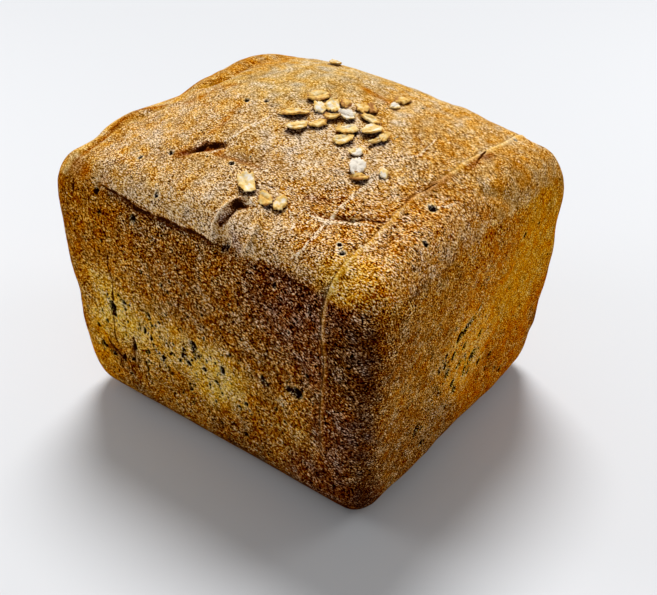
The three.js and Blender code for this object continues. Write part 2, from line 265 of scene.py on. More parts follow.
# Open pits of the sides: where they lie along X or Y, their height, radius and stretch.
FRONT_PITS = [
    (-47, 50, 1.7, 1.6), (-40, 55, 1.2, 1), (-43, 57, 0.8, 1), (-27, 54, 0.9, 1.9), (-26, 50, 0.7, 1),
    (-27, 44, 0.8, 1.2), (-4, 51, 1.9, 1), (-9.5, 46.6, 0.9, 1), (-16.6, 41.4, 0.8, 1),
    (-21, 37.6, 1.0, 1), (-25, 39, 0.8, 1), (-12, 40, 0.7, 1), (-7.6, 41, 1.3, 1), (0.5, 42, 1.0, 1),
    (9.8, 46, 1.1, 1.8), (6, 38.6, 1.0, 1), (-9, 30, 0.6, 1), (44.4, 52.5, 2.2, 1), (40.5, 52.3, 1.2, 1),
    (48.8, 62, 0.9, 1.3), (28.9, 51.5, 1.0, 1.8), (31, 50, 0.8, 1.4), (-37, 35.7, 1.0, 2.4),
    (-39, 28, 1.1, 1), (-41, 20, 0.9, 1), (-51, 25, 1.3, 1), (-45, 25, 0.9, 1), (-58, 37, 0.9, 1),
    (-52, 41, 0.8, 1), (18.9, 19.3, 1.3, 1), (13, 22, 0.7, 1), (6.3, 18.5, 0.9, 1), (17, 32, 1.0, 1),
    (38.9, 36.5, 0.8, 1), (26.8, 17.6, 0.7, 1), (-29.5, 95.2, 1.5, 1), (-12.6, 76, 0.7, 1),
    (-28, 73.6, 0.9, 1), (-47, 92, 0.9, 1), (-47.7, 80, 0.8, 1), (-19, 45, 0.6, 1), (-15, 46.4, 0.7, 1),
    (14.7, 55.8, 0.6, 1), (-1.7, 47, 0.8, 1), (-39.6, 52, 0.7, 1),
]
END_PITS = [
    (-3.8, 62.4, 1.4, 1.2), (-7.8, 61, 1.6, 1.4), (-11.7, 60, 1.4, 1.9), (-6.7, 52.3, 1.2, 1.2),
    (2.5, 42.5, 1.9, 1.2), (17.5, 32.7, 1.4, 1.2), (-17, 45.8, 1.4, 1.2), (-3, 38, 1.2, 1.7),
    (-8.5, 45, 1.4, 1.2), (-10.5, 33.9, 1.2, 1.2), (-33.6, 29.5, 1.6, 1.6), (-29, 20, 1.4, 1.0),
    (28, 19.3, 1.4, 1.0), (-12, 38, 1.1, 1.4), (4, 52, 1.1, 1.4), (8, 36, 1.1, 1.4), (-22, 40, 0.9, 1.4),
    (-14, 52, 1.1, 1.6),
]
TOP_PITS = [
    (-18.9, -13.8, 1.0), (-12.6, -10.1, 0.9), (-2.1, -41.2, 0.9), (63.8, -16, 1.4), (54.6, -53.3, 0.9),
    (51.7, -51, 0.7), (48.2, -39.3, 1.0), (-37.7, -51, 0.8), (-27.5, -45.5, 0.8), (-21, -60, 0.7),
    (12.8, -63, 0.9), (14.9, -63.1, 0.8), (70.8, -31, 0.8), (59.7, 47.7, 0.8), (-50, -62.6, 1.0),
]


# Pits at random places: how many, the spans they lie in and their radii.
LONG_SIDE, SHORT_SIDE = (-62, 62), (-55, 55)
WHOLE_WALL, PITTED_BELT = (12, 95), (16, 60)
FRONT_SCATTER = [(40, ((-58, 5), (20, 60)), (0.4, 0.9)), (70, (LONG_SIDE, WHOLE_WALL), (0.35, 0.8))]
END_SCATTER = [(30, ((-30, 25), (22, 66)), (0.4, 0.9)), (40, (SHORT_SIDE, WHOLE_WALL), (0.35, 0.8))]
BACK_SCATTER = [(34, (LONG_SIDE, PITTED_BELT), (0.5, 2.0)), (60, (LONG_SIDE, WHOLE_WALL), (0.4, 0.9))]
FAR_SCATTER = [(30, (SHORT_SIDE, PITTED_BELT), (0.5, 2.0)), (50, (SHORT_SIDE, WHOLE_WALL), (0.4, 0.9))]
TOP_SCATTER = [(14, (LONG_SIDE, SHORT_SIDE), (0.25, 0.45))]
FOOT_SCATTER = [(40, ((-52, 52), (-45, 45)), (0.6, 2.2))]
# How far from its flat or upright plane a pit still finds the bulging crust.
WALL_BAND, END_BAND, TOP_BAND, FOOT_BAND = 9, 14, 26, 5
TOP_PLANE = 120


def scatter_pits(random, groups):
    """Pits at random places, more of the small ones."""
    pits = []
    for count, spans, (smallest, largest) in groups:
        places = random.uniform(*np.transpose(spans), (count, len(spans)))
        sizes = smallest + (largest - smallest) * random.random(count) ** 3
        stretches = random.uniform(1, 1.8, count)
        pits += [(*place, size, stretch) for place, size, stretch in zip(places, sizes, stretches)]
    return pits


def all_pits():
    """Every pit as its middle, its radius on each axis and its depth, in millimetres."""
    random = np.random.default_rng(21)
    front = FRONT_PITS + scatter_pits(random, FRONT_SCATTER)
    end = END_PITS + scatter_pits(random, END_SCATTER)
    back = scatter_pits(random, BACK_SCATTER)
    far = scatter_pits(random, FAR_SCATTER)
    top = [(*pit, 1) for pit in TOP_PITS] + scatter_pits(random, TOP_SCATTER)
    foot = scatter_pits(random, FOOT_SCATTER)
    pits = []
    for y, places in ((-RIM_WIDTH / 2, front), (RIM_WIDTH / 2, back)):
        pits += [((x, y, z), (r, WALL_BAND, r * s), r) for x, z, r, s in places]
    for x, places in ((RIM_LENGTH / 2, end), (-RIM_LENGTH / 2, far)):
        pits += [((x, y, z), (END_BAND, r, r * s), r) for y, z, r, s in places]
    pits += [((x, y, TOP_PLANE), (r, r * s, TOP_BAND), r) for x, y, r, s in top]
    pits += [((x, y, 0), (r, r * s, FOOT_BAND), 0.5 * r) for x, y, r, s in foot]
    return pits


PIT_DEPTH = 1.5
# How far the ends' pits lean over, in shares of their height.
END_SLANT = 0.3
# Places at most this far beyond a pit's or line's edge count as near it.
NEAR = 1.5


def ways_from_pits(points):
    """The way to each point from the nearest pit's middle, in radii, 1 if it is near, and the pit's size."""
    ways = np.zeros((len(points), 3))
    gaps = np.full(len(points), np.inf)
    sizes = np.zeros(len(points))
    ragged = points + 0.3 * np.stack([noise(points, 1.7, seed) for seed in (31, 32, 33)], axis=1)
    for middle, halves, size in all_pits():
        offset = ragged - middle
        if halves[0] == END_BAND:
            offset[:, 1] -= END_SLANT * offset[:, 2]
        close = np.nonzero((np.abs(offset) < np.add(halves, 2 * NEAR)).all(axis=1))[0]
        flat = np.delete(offset[close] / halves, int(np.argmax(halves)), axis=1)
        gap = (np.linalg.norm(flat, axis=1) - 1) * min(halves)
        better = gap < gaps[close]
        chosen = close[better]
        ways[chosen, :2] = flat[better]
        ways[chosen, 2] = gap[better] < NEAR
        gaps[chosen] = gap[better]
        sizes[chosen] = size
    return ways, sizes


def pit_depths(points):
    """How deep each point lies in a pit, in millimetres."""
    ways, sizes = ways_from_pits(points)
    return PIT_DEPTH * sizes * ways[:, 2] * np.exp(-(1.15 * np.hypot(ways[:, 0], ways[:, 1])) ** 4)


# Thin cracks, dark with painted shade in them: the side they are drawn on, half their width, their depth and
# their points.
CRACKS = [
    ("top", 0.4, 0.6, [
        (36, -44.5), (41, -43), (44.5, -40), (48, -39.3), (51.5, -36), (56, -34), (57.5, -30.5)
    ]),
    ("top", 0.8, 0.7, [(-20.5, -42.9), (-17.9, -40.9), (-16.6, -38.1), (-14.1, -37.3), (-10.8, -35.3)]),
    ("top", 0.7, 0.7, [(9, -60.2), (10, -57.7), (10.7, -56), (11, -53.8), (12.3, -52.8), (14.8, -53)]),
    ("top", 0.25, 0.3, [(57.1, -13.6), (57.4, -9.3), (58.1, -4.4)]),
    ("top", 0.25, 0.3, [(60.4, 16.8), (59.2, 22.1), (58.2, 28.3)]),
    ("front", 0.55, 0.6, [
        (-51, 101.2), (-43, 101), (-36, 100.2), (-30, 99), (-18, 98.6), (-8, 98.4), (3, 98.4),
        (10, 98.6)
    ]),
    ("front", 0.3, 0.4, [
        (-46.1, 79), (-45.9, 74), (-46.4, 67.6), (-45.7, 62), (-46.6, 53.5), (-48.8, 36.4), (-46.4, 29)
    ]),
    ("front", 0.4, 0.6, [(23.6, 54.2), (26.2, 51.5), (28.6, 49.4), (31.6, 46.7)]),
    ("front", 0.8, 0.6, [(-53, 31), (-50, 27.7), (-46, 26), (-44.6, 27.5)]),
    ("front", 0.7, 0.6, [(-37, 40), (-37.8, 35), (-38.4, 30.5)]),
    ("front", 0.4, 0.5, [(-62.6, 99.5), (-62, 93.5)]),
    ("end", 0.4, 0.5, [(-34.4, 32), (-33, 27.4)]),
]
# Thin pale ridges where the dough's skin met itself.
PALE_LINES = [
    ("top", 0.60, 0.25, [
        (40, -61), (42.3, -58), (42.5, -52), (41, -38), (42, -23), (41, -14), (42.4, -6), (46, 2),
        (44, 17)
    ]),
    ("top", 0.52, 0.2, [(22, -34.2), (23.4, -28.6)]),
    ("top", 0.75, 0.4, [
        (7.4, -62.3), (7.1, -59.3), (8.1, -57.2), (9.4, -54.4), (11, -52.2), (14.2, -51.7),
        (17.7, -51.9)
    ]),
    ("top", 0.75, 0.25, [(-11.3, -34.5), (-7.8, -27.8), (-4.6, -16.5)]),
    ("top", 0.52, 0.2, [(27.8, -47), (33.6, -51.4), (34.2, -53.8)]),
    ("top", 0.60, 0.2, [(-10.5, -36), (-12.4, -40.4)]),
    ("top", 0.90, 0.2, [
        (35.5, -45.6), (39.3, -45), (42.8, -44.3), (46.3, -42), (50.8, -39.6), (54.9, -37.2)
    ]),
    ("top", 0.45, 0.2, [(63.8, -14.4), (66, -12), (67, -7)]),
]
LINE_KINK = 0.4
LINE_TAPER = 0.15


def on_side(points, side, kink):
    """Where each point lies on the side that a line is drawn on, and if it belongs to that side.

    What is drawn on the front is on the back too, and the right end's on the left, turned half round.
    """
    x, y, z = points.T
    if side == "top":
        return x + kink, y + kink, z > 90
    if side == "front":
        return np.where(y > 0, -x, x) + kink, z + kink, np.abs(y) > 55
    return np.where(x < 0, -y, y) + kink, z + kink, np.abs(x) > 65


def ways_from_lines(points, lines):
    """The way to each point from the nearest line, in half widths, 1 if it is near, and the line's depth."""
    kink = LINE_KINK * noise(points, 3, 51)
    ways = np.zeros((len(points), 3))
    gaps = np.full(len(points), np.inf)
    depths = np.zeros(len(points))
    for side, half_width, depth, course in lines:
        across, along, shown = on_side(points, side, kink)
        for number, (start, end) in enumerate(zip(course, course[1:])):
            way_x, way_y, share = way_from_line(across, along, start, end)
            place = (number + share) / (len(course) - 1)
            half = half_width * np.sqrt(np.clip(4 * place * (1 - place), LINE_TAPER, 1))
            gap = np.where(shown, np.hypot(way_x, way_y) - half, np.inf)
            better = gap < gaps
            near = gap < NEAR
            ways[better] = np.stack([way_x / half, way_y / half, near], axis=1)[better]
            gaps[better] = gap[better]
            depths[better] = depth
    return ways, depths


def line_relief(points):
    height = np.zeros(len(points))
    for lines, sign in ((CRACKS, -1), (PALE_LINES, 1)):
        ways, depths = ways_from_lines(points, lines)
        height += sign * depths * ways[:, 2] * bell(np.hypot(ways[:, 0], ways[:, 1]))
    return height


WRINKLE_DEPTH = 0.3


def wrinkles(points):
    """The risen top's mottling, drawn out across the loaf: from about -1 in hollows to 1 on crests."""
    drawn = points * (1, 0.6, 1)
    return 0.6 * noise(drawn, 6.5, 41) + 0.5 * noise(drawn, 3.4, 42) + 0.4 * noise(drawn, 12, 43)


def grain_relief(points, on_top):
    """The crust's unevenness: wrinkles on the risen top, a pressed and gently dimpled skin on the sides."""
    pressed = 0.14 * noise(points, 11, 44) + 0.1 * noise(points, 5, 45) + 0.06 * noise(points, 3, 46)
    return on_top * WRINKLE_DEPTH * wrinkles(points) + (1 - on_top) * pressed + line_relief(points)


# ---------------------------------------------------------------- the loaf's mesh

GRID_STEP = 0.52
LOAF_TRIANGLES = 195_000


def grid_lines(flat_from, flat_to, flat_length, round_length):
    flat = np.linspace(flat_from, flat_to, round(flat_length / GRID_STEP) + 1)
    low = np.linspace(-1, flat_from, round(round_length[0] / GRID_STEP), endpoint=False)
    high = np.linspace(flat_to, 1, round(round_length[1] / GRID_STEP) + 1)[1:]
    return np.concatenate([low, flat, high])


def cube_grid():
    """The points of a grid on the cube's six faces, without repeats, and its quads, facing out."""
    flat_x = 1 - CORNER_RADIUS / HALF_LENGTH
    flat_y = 1 - CORNER_RADIUS / HALF_WIDTH
    flat_foot = FOOT_RADIUS / HALF_HEIGHT - 1
    flat_shoulder = 1 - SHOULDER_RADIUS / HALF_HEIGHT
    corner, foot, shoulder = (r * math.pi / 4 for r in (CORNER_RADIUS, FOOT_RADIUS, SHOULDER_RADIUS))
    flat_side = SIDE_HEIGHT - FOOT_RADIUS - SHOULDER_RADIUS
    lines_x = grid_lines(-flat_x, flat_x, flat_x * RIM_LENGTH, (corner, corner))
    lines_y = grid_lines(-flat_y, flat_y, flat_y * RIM_WIDTH, (corner, corner))
    lines_z = grid_lines(flat_foot, flat_shoulder, flat_side, (foot, shoulder))
    points, quads, start = [], [], 0
    for lines_a, lines_b, axes, turn in (
        (lines_x, lines_y, (0, 1, 2), 1),
        (lines_x, lines_z, (0, 2, 1), -1),
        (lines_y, lines_z, (1, 2, 0), 1),
    ):
        for side in (turn, -turn):
            a, b = np.meshgrid(lines_a, lines_b, indexing="ij")
            face = np.empty((a.size, 3))
            face[:, axes] = np.stack([a.ravel(), b.ravel(), np.full(a.size, side)], axis=1)
            index = np.arange(a.size).reshape(a.shape) + start
            corners = [index[:-1, :-1], index[1:, :-1], index[1:, 1:], index[:-1, 1:]]
            quad = np.stack([c.ravel() for c in corners], axis=1)
            quads.append(quad if side == turn else quad[:, ::-1])
            points.append(face)
            start += a.size
    points = np.concatenate(points)
    keys = np.round(points * 1e6).astype(np.int64)
    _, first, inverse = np.unique(keys, axis=0, return_index=True, return_inverse=True)
    return points[first], inverse.ravel()[np.concatenate(quads)]


def vertex_normals(points, quads):
    across = points[quads[:, 2]] - points[quads[:, 0]]
    along = points[quads[:, 3]] - points[quads[:, 1]]
    facing = np.cross(across, along)
    total = np.zeros_like(points)
    for axis in range(3):
        for corner in range(4):
            total[:, axis] += np.bincount(quads[:, corner], facing[:, axis], len(points))
    return total / np.linalg.norm(total, axis=1, keepdims=True)


def new_mesh_object(name, points, faces, smooth=True):
    """An object whose mesh has these points, in millimetres, and these faces of one size."""
    mesh = bpy.data.meshes.new(name)
    size = faces.shape[1]
    mesh.vertices.add(len(points))
    mesh.vertices.foreach_set("co", (points * MM).astype(np.float32).ravel())
    mesh.loops.add(faces.size)
    mesh.loops.foreach_set("vertex_index", faces.astype(np.int32).ravel())
    mesh.polygons.add(len(faces))
    mesh.polygons.foreach_set("loop_start", np.arange(0, faces.size, size, dtype=np.int32))
    mesh.update(calc_edges=True)
    mesh.polygons.foreach_set("use_smooth", np.full(len(faces), smooth))
    mesh.validate()
    thing = bpy.data.objects.new(name, mesh)
    bpy.context.scene.collection.objects.link(thing)
    return thing


def mesh_points(thing):
    points = np.empty(3 * len(thing.data.vertices), np.float32)
    thing.data.vertices.foreach_get("co", points)
    return points.reshape(-1, 3).astype(float) / MM


def make_loaf():
    cube, quads = cube_grid()
    smooth_form = crust_points(cube)
    outward = vertex_normals(smooth_form, quads)
    on_top = smoothstep(outward[:, 2], 0.35, 0.8)
    height = main_relief(smooth_form) + seam_ridge(smooth_form)
    height += grain_relief(smooth_form, on_top)
    height *= smoothstep(smooth_form[:, 2], *FOOT_RELIEF)
    height -= pit_depths(smooth_form)
    points = smooth_form + outward * height[:, None]
    points[:, 2] = np.maximum(points[:, 2], 0)
    loaf = new_mesh_object("loaf_crust", points, quads)
    thin = loaf.modifiers.new("thin", "DECIMATE")
    thin.ratio = LOAF_TRIANGLES / (2 * len(quads))
    apply_modifiers(loaf)
    return loaf


def apply_modifiers(thing):
    shown = thing.evaluated_get(bpy.context.evaluated_depsgraph_get())
    mesh = bpy.data.meshes.new_from_object(shown)
    mesh.name = thing.data.name
    old = thing.data
    thing.modifiers.clear()
    thing.data = mesh
    bpy.data.meshes.remove(old)


# The cells of the flat map: two side by side, three above each other.
MAP_COLUMNS = 2
MAP_ROWS = 3
MAP_FILL = 0.96


def lay_out_flat(thing):
    """Gives a mesh a flat map in six cells, one for each way that its faces look."""
    mesh = thing.data
    corners = np.empty(len(mesh.loops), np.int32)
    mesh.loops.foreach_get("vertex_index", corners)
    facing = np.empty(3 * len(mesh.polygons), np.float32)
    mesh.polygons.foreach_get("normal", facing)
    sides = np.empty(len(mesh.polygons), np.int32)
    mesh.polygons.foreach_get("loop_total", sides)
    facing = np.repeat(facing.reshape(-1, 3), sides, axis=0)
    axis = np.abs(facing).argmax(axis=1)
    backward = facing[np.arange(len(axis)), axis] < 0
    points = mesh_points(thing)
    middle = (points.min(axis=0) + points.max(axis=0)) / 2
    place = (points - middle)[corners] * MAP_FILL / MAP_ROWS / RIM_WIDTH
    across = np.where(axis == 0, place[:, 1], place[:, 0]) + (backward + 0.5) / MAP_COLUMNS
    up = np.where(axis == 2, place[:, 1], place[:, 2]) + (axis + 0.5) / MAP_ROWS
    flat = np.stack([across, up], axis=1).astype(np.float32)
    mesh.uv_layers.new(name="OFBake").data.foreach_set("uv", flat.ravel())


# ---------------------------------------------------------------- rolled oats

# Each flake: x, y, length, width, heading and lift of one long edge in degrees, and how toasted it is.
OATS = [
    (1.8, 2.3, 9.6, 5.8, 60, 6, 0.75), (6.2, -2.8, 7.8, 5.2, 138, 10, 0.3),
    (10.0, 0.4, 8.0, 5.6, 114, 6, 0.4), (11.6, 5.0, 6.0, 4.4, 126, 4, 1.15),
    (0.8, -11.1, 10.4, 5.2, 30, -12, 0.6), (6.5, -16.5, 8.2, 5.4, 39, -12, 0.35),
    (11.6, -10.9, 7.4, 4.6, 58, -10, 0.6), (17.7, 7.1, 6.0, 4.8, 104, 4, 0.6),
    (19.9, 10.3, 6.3, 4.4, 114, 6, 1.3), (16.7, -0.9, 6.4, 5.4, 12, 10, -0.1),
    (13.2, -5.0, 6.4, 4.0, 44, -12, 0.85), (23.7, 3.9, 7.4, 4.8, 7, -4, 0.5),
    (21.5, -6.3, 9.0, 5.2, 52, -6, 0.45), (27.8, -0.7, 8.6, 6.0, 65, -14, 0.25),
    (32.6, -0.1, 6.4, 3.8, 101, -6, 0.65), (32.0, -3.8, 8.0, 2.2, 75, -8, 0.4),
    (23.4, -11.4, 7.6, 5.0, 59, -6, 0.35), (30.4, -13.6, 5.6, 4.4, 80, -4, 0.05),
    (35.0, -19.2, 8.4, 5.6, 114, 18, -0.4), (38.5, -22.5, 6.4, 4.2, 48, -8, 1.0),
    (43.4, -15.4, 4.6, 3.8, 119, 6, 0.2), (9.4, -46.0, 9.6, 7.0, 145, 10, 0.25),
    (18.9, -48.2, 6.8, 5.0, 164, -6, 0.65), (24.0, -46.8, 6.4, 5.0, 126, -4, 0.45),
    (21.8, 27.5, 8.8, 5.0, 87, -4, 0.75), (23.7, 19.5, 5.2, 3.6, 88, 4, 0.0),
    (-13.8, 32.4, 5.0, 4.2, 50, 4, 0.5),
]
OAT_THICKNESS = 1.15
OAT_RIM_THICKNESS = 0.05
OAT_CREASE = 0.42
# The waves of a flake's outline, how many round it and how high, and how frayed it is between them.
OAT_WAVES = [(2, 0.07), (3, 0.06), (7, 0.06), (13, 0.05)]
OAT_FRAY = 0.025
OAT_RINGS = 10
OAT_SPOKES = 48


def top_surface(x, y):
    """The crust's place and outward direction above a point of the top."""
    step = 0.5
    offsets = np.array([(0, 0), (step, 0), (-step, 0), (0, step), (0, -step)])
    places = np.array([x, y]) + offsets
    cube = np.column_stack([places[:, 0] * 2 / RIM_LENGTH, places[:, 1] * 2 / RIM_WIDTH, np.ones(5)])
    form = crust_points(cube)
    outward = np.cross(form[1] - form[2], form[3] - form[4])
    outward /= np.linalg.norm(outward)
    return form[0] + outward * main_relief(form[:1])[0], outward


def oat_outline(angle, random):
    """How far a flake's ragged edge reaches at each angle, with one side broken off nearly straight."""
    ragged = 1
    for waves, height in OAT_WAVES:
        ragged = ragged + height * np.sin(waves * angle + random.uniform(0, 6))
    towards_break = np.cos(angle - random.uniform(0, 6))
    broken = random.uniform(0.66, 0.95) / np.maximum(towards_break, 0.2)
    return np.minimum(ragged, broken) + random.normal(0, OAT_FRAY, len(angle))


def oat_form(flake, random):
    """The points of one rolled oat lying level, a creased and curled lens, and how near its rim each is."""
    x, y, length, width, *_ = flake
    angle = np.linspace(0, 2 * math.pi, OAT_SPOKES, endpoint=False)
    outline = oat_outline(angle, random)
    share = np.linspace(0, 1, OAT_RINGS + 1)[1:] ** 0.8
    flat_x = np.outer(share, 0.5 * length * outline * np.cos(angle))
    flat_y = np.outer(share, 0.5 * width * outline * np.sin(angle))
    reach = np.repeat(share[:, None], OAT_SPOKES, axis=1)
    thick = 0.5 * OAT_THICKNESS * np.sqrt(np.maximum(1 - reach**2.5, 0.0)) + OAT_RIM_THICKNESS
    off_middle = random.uniform(-0.12, 0.12) * width
    from_crease = flat_y - off_middle - 0.25 * np.sin(flat_x)
    crease = -OAT_CREASE * bell(from_crease / (0.1 * width)) * (1 - reach**3)
    bend_x, bend_y, twist = random.uniform(-0.5, 0.9), random.uniform(-0.2, 0.9), random.uniform(-0.8, 0.8)
    along, across = 2 * flat_x / length, 2 * flat_y / width
    curl = bend_x * along**2 + bend_y * across**2 + twist * along * across
    places = np.stack([flat_x + 20 * x, flat_y + 20 * y, 0 * flat_x], axis=2).reshape(-1, 3)
    puckered = (0.26 * noise(places, 2.1, 71) + 0.14 * noise(places, 0.9, 72)).reshape(reach.shape)
    middle = curl + 0.5 * puckered * (1 + reach**2)
    upper = np.stack([flat_x, flat_y, middle + thick + crease + 0.5 * puckered], axis=2).reshape(-1, 3)
    lower = np.stack([flat_x, flat_y, middle - thick], axis=2).reshape(-1, 3)
    hub = (middle[0] + crease[0] + 0.5 * puckered[0]).mean()
    hubs = np.array([[0, 0, hub + 0.5 * OAT_THICKNESS], [0, 0, hub - 0.5 * OAT_THICKNESS]])
    rim = np.concatenate([reach.ravel(), reach.ravel(), [0, 0]])
    return np.concatenate([upper, lower, hubs]), rim


def lay_oat(points, flake):
    """A level oat's points, tilted, turned to its heading and laid on the crust."""
    x, y, _, width, heading, lift, _ = flake
    tilt = math.radians(lift)
    turn = np.array([[1, 0, 0], [0, math.cos(tilt), -math.sin(tilt)], [0, math.sin(tilt), math.cos(tilt)]])
    place, outward = top_surface(x, y)
    aim = math.radians(heading)
    sideways = np.array([-math.sin(aim), math.cos(aim), 0])
    along = np.cross(sideways, outward)
    along /= np.linalg.norm(along)
    basis = np.stack([along, np.cross(outward, along), outward])
    raised = 0.25 * OAT_THICKNESS + 0.32 * width * abs(math.sin(tilt))
    return points @ turn.T @ basis + place + outward * raised


def oat_faces():
    """Triangles of an oat's two grids of rings and spokes, their shared rim and their two hubs."""
    ring = np.arange(OAT_RINGS * OAT_SPOKES).reshape(OAT_RINGS, OAT_SPOKES)
    following = np.roll(ring, -1, axis=1)
    below = ring.size
    hub = 2 * ring.size
    faces = []
    for r in range(OAT_RINGS - 1):
        a, b, c, d = ring[r], following[r], following[r + 1], ring[r + 1]
        faces += [np.stack([a, d, c], 1), np.stack([a, c, b], 1)]
        faces += [np.stack([a, c, d], 1) + below, np.stack([a, b, c], 1) + below]
    rim, rim_next = ring[-1], following[-1]
    faces += [np.stack([rim, rim + below, rim_next + below], 1)]
    faces += [np.stack([rim, rim_next + below, rim_next], 1)]
    top_hub = np.full(OAT_SPOKES, hub)
    faces += [np.stack([top_hub, ring[0], following[0]], 1)]
    faces += [np.stack([top_hub + 1, following[0] + below, ring[0] + below], 1)]
    return np.concatenate(faces)


def make_oats():
    random = np.random.default_rng(5)
    points, faces, toast, rims = [], [], [], []
    for number, flake in enumerate(OATS):
        form, rim = oat_form(flake, random)
        points.append(lay_oat(form, flake))
        faces.append(oat_faces() + number * len(form))
        toast.append(np.full(len(form), flake[-1]))
        rims.append(rim)
    oats = new_mesh_object("rolled_oats", np.concatenate(points), np.concatenate(faces))
    set_attribute(oats, "toast", np.concatenate(toast))
    set_attribute(oats, "rim", np.concatenate(rims))
    return oats


def set_attribute(thing, name, values):
    """Stores a number or a vector at each of the mesh's points."""
    kind, key = ("FLOAT", "value") if values.ndim == 1 else ("FLOAT_VECTOR", "vector")
    thing.data.attributes.new(name, kind, "POINT").data.foreach_set(key, values.astype(np.float32).ravel())


# ---------------------------------------------------------------- materials


class Nodes:
    """Short ways to add and join the nodes of one material."""

    def __init__(self, name):
        self.material = bpy.data.materials.new(name)
        self.material.use_nodes = True
        self.tree = self.material.node_tree
        self.shader = self.tree.nodes["Principled BSDF"]

    def put(self, value, socket):
        if isinstance(value, bpy.types.NodeSocket):
            self.tree.links.new(value, socket)
        else:
            socket.default_value = value

    def add(self, kind, inputs=None, **settings):
        """A new node with these settings, and with its inputs joined to sockets or set to numbers."""
        node = self.tree.nodes.new(kind)
        for key, value in settings.items():
            setattr(node, key, value)
        for key, value in (inputs or {}).items():
            self.put(value, node.inputs[key])
        return node

    def attribute(self, name, output="Fac"):
        return self.add("ShaderNodeAttribute", attribute_name=name).outputs[output]

    def part(self, vector, axis):
        return self.add("ShaderNodeSeparateXYZ", {0: vector}).outputs[axis]

    def math(self, operation, a, b=0.0):
        return self.add("ShaderNodeMath", {0: a, 1: b}, operation=operation).outputs[0]

    def plus(self, base, value, amount):
        """A number plus an amount of another."""
        return self.math("ADD", base, self.math("MULTIPLY", value, amount))

    def vector_math(self, operation, a, b=(0, 0, 0), output="Vector"):
        return self.add("ShaderNodeVectorMath", {0: a, 1: b}, operation=operation).outputs[output]

    def reach(self, name):
        """How far a place is from the nearest pit's or line's middle, in radii or half widths."""
        way = self.attribute(name, "Vector")
        length = self.vector_math("LENGTH", self.vector_math("MULTIPLY", way, (1, 1, 0)), output="Value")
        return self.math("ADD", length, self.span(self.part(way, 2), 1.0, 0.0, 0.0, OUT_OF_REACH))

    def millimetres(self):
        """The object's own coordinates in millimetres."""
        place = self.add("ShaderNodeTexCoord").outputs["Object"]
        return self.vector_math("MULTIPLY", place, (1 / MM, 1 / MM, 1 / MM))

    def noise(self, place, size, detail=1.0, distortion=0.0):
        """Noise from 0 to 1 with lumps of a size in millimetres."""
        inputs = {"Vector": place, "Scale": 1 / size, "Detail": detail, "Distortion": distortion}
        return self.add("ShaderNodeTexNoise", inputs).outputs["Fac"]

    def span(self, value, low, high, to_low=0.0, to_high=1.0):
        """value from low to high, turned smoothly into to_low to to_high."""
        inputs = {"Value": value, "From Min": low, "From Max": high, "To Min": to_low, "To Max": to_high}
        return self.add("ShaderNodeMapRange", inputs, interpolation_type="SMOOTHSTEP").outputs["Result"]

    def swing(self, noise, low, high):
        """Noise, stretched so that it swings from low to high."""
        return self.span(noise, 0.3, 0.7, low, high)

    def centred(self, noise):
        return self.math("SUBTRACT", noise, 0.5)

    def drawn_out(self, place, way, share):
        """A place, pressed together along a way, so that what is drawn with it comes out longer that way."""
        way = Vector(way).normalized()
        along = self.vector_math("DOT_PRODUCT", place, way, output="Value")
        return self.shift(place, self.math("MULTIPLY", along, -share), way)

    def shift(self, colour, amount, by):
        """A colour or a place, moved by an amount times three numbers."""
        amounts = self.add("ShaderNodeCombineColor", {0: amount, 1: amount, 2: amount}).outputs[0]
        return self.vector_math("ADD", colour, self.vector_math("MULTIPLY", amounts, by))

    def from_display(self, colour):
        """A colour on a display's scale, kept within what a crust can be and turned into reflected light."""
        kept = self.vector_math("MINIMUM", self.vector_math("MAXIMUM", colour), PALEST_CRUST)
        return self.add("ShaderNodeGamma", {"Color": kept, "Gamma": DISPLAY_GAMMA}).outputs[0]

    def mix(self, share, a, b):
        """Two colours, mixed by a share."""
        return self.add("ShaderNodeMix", {"Factor": share, 6: a, 7: b}, data_type="RGBA").outputs[2]

    def bump(self, height, strength, distance):
        """Raises the surface by a height from 0 to 1 times a distance in millimetres."""
        inputs = {"Height": height, "Strength": strength, "Distance": distance * MM}
        self.put(self.add("ShaderNodeBump", inputs).outputs["Normal"], self.shader.inputs["Normal"])

    def finish(self, colour, roughness, gloss):
        """The material, with a colour, a roughness and a strength of its gloss."""
        for name, value in (("Base Color", colour), ("Roughness", roughness), ("Specular IOR Level", gloss)):
            self.put(value, self.shader.inputs[name])
        return self.material


# What a place that is near no pit or line has for its distance.
OUT_OF_REACH = 9.0
DISPLAY_GAMMA = 2.2
PALEST_CRUST = (0.97, 0.88, 0.78)
# How much lighter and darker each kind of unevenness makes the crust, in shares of a display's scale.
GRAIN_CONTRAST = 3.3
CLOT_CONTRAST = 0.55
CLUMP_CONTRAST = 0.25
STROKE_CONTRAST = 0.32
WARMER = (0.08, -0.1, -0.4)

# Painted shade: in the open pits and pores, in the cracks, and beside the seam's ridge.
PIT_SHADE = (0.010, 0.0005, 0.0003, 1)
CRACK_SHADE = (0.020, 0.003, 0.0003, 1)
SEAM_SHADOW = (0.05, 0.02, 0.004, 1)
# On a display's scale: how specks change the colour, the skin beside a crack, the seam, and flour.
SPECK = (0.98, 1.0, 0.98)
CRACK_RUST = (0.40, 0.17, 0.0, 1)
SEAM_GOLD = (0.66, 0.46, 0.18)
SEAM_LIGHTER = (0.24, 0.27, 0.27)
FLOUR_CREAM = (0.95, 0.82, 0.62, 1)
# The way the grain's dashes and the pores are drawn out, and by how much of their length.
DASHES = (0.92, 0.14, -0.36)
DASH_STRETCH = 0.6
SLITS = (0.05, 0.5, 0.86)
SLIT_STRETCH = 0.45
PORE_SPACING = 2.2
PORE_RADIUS = 0.62
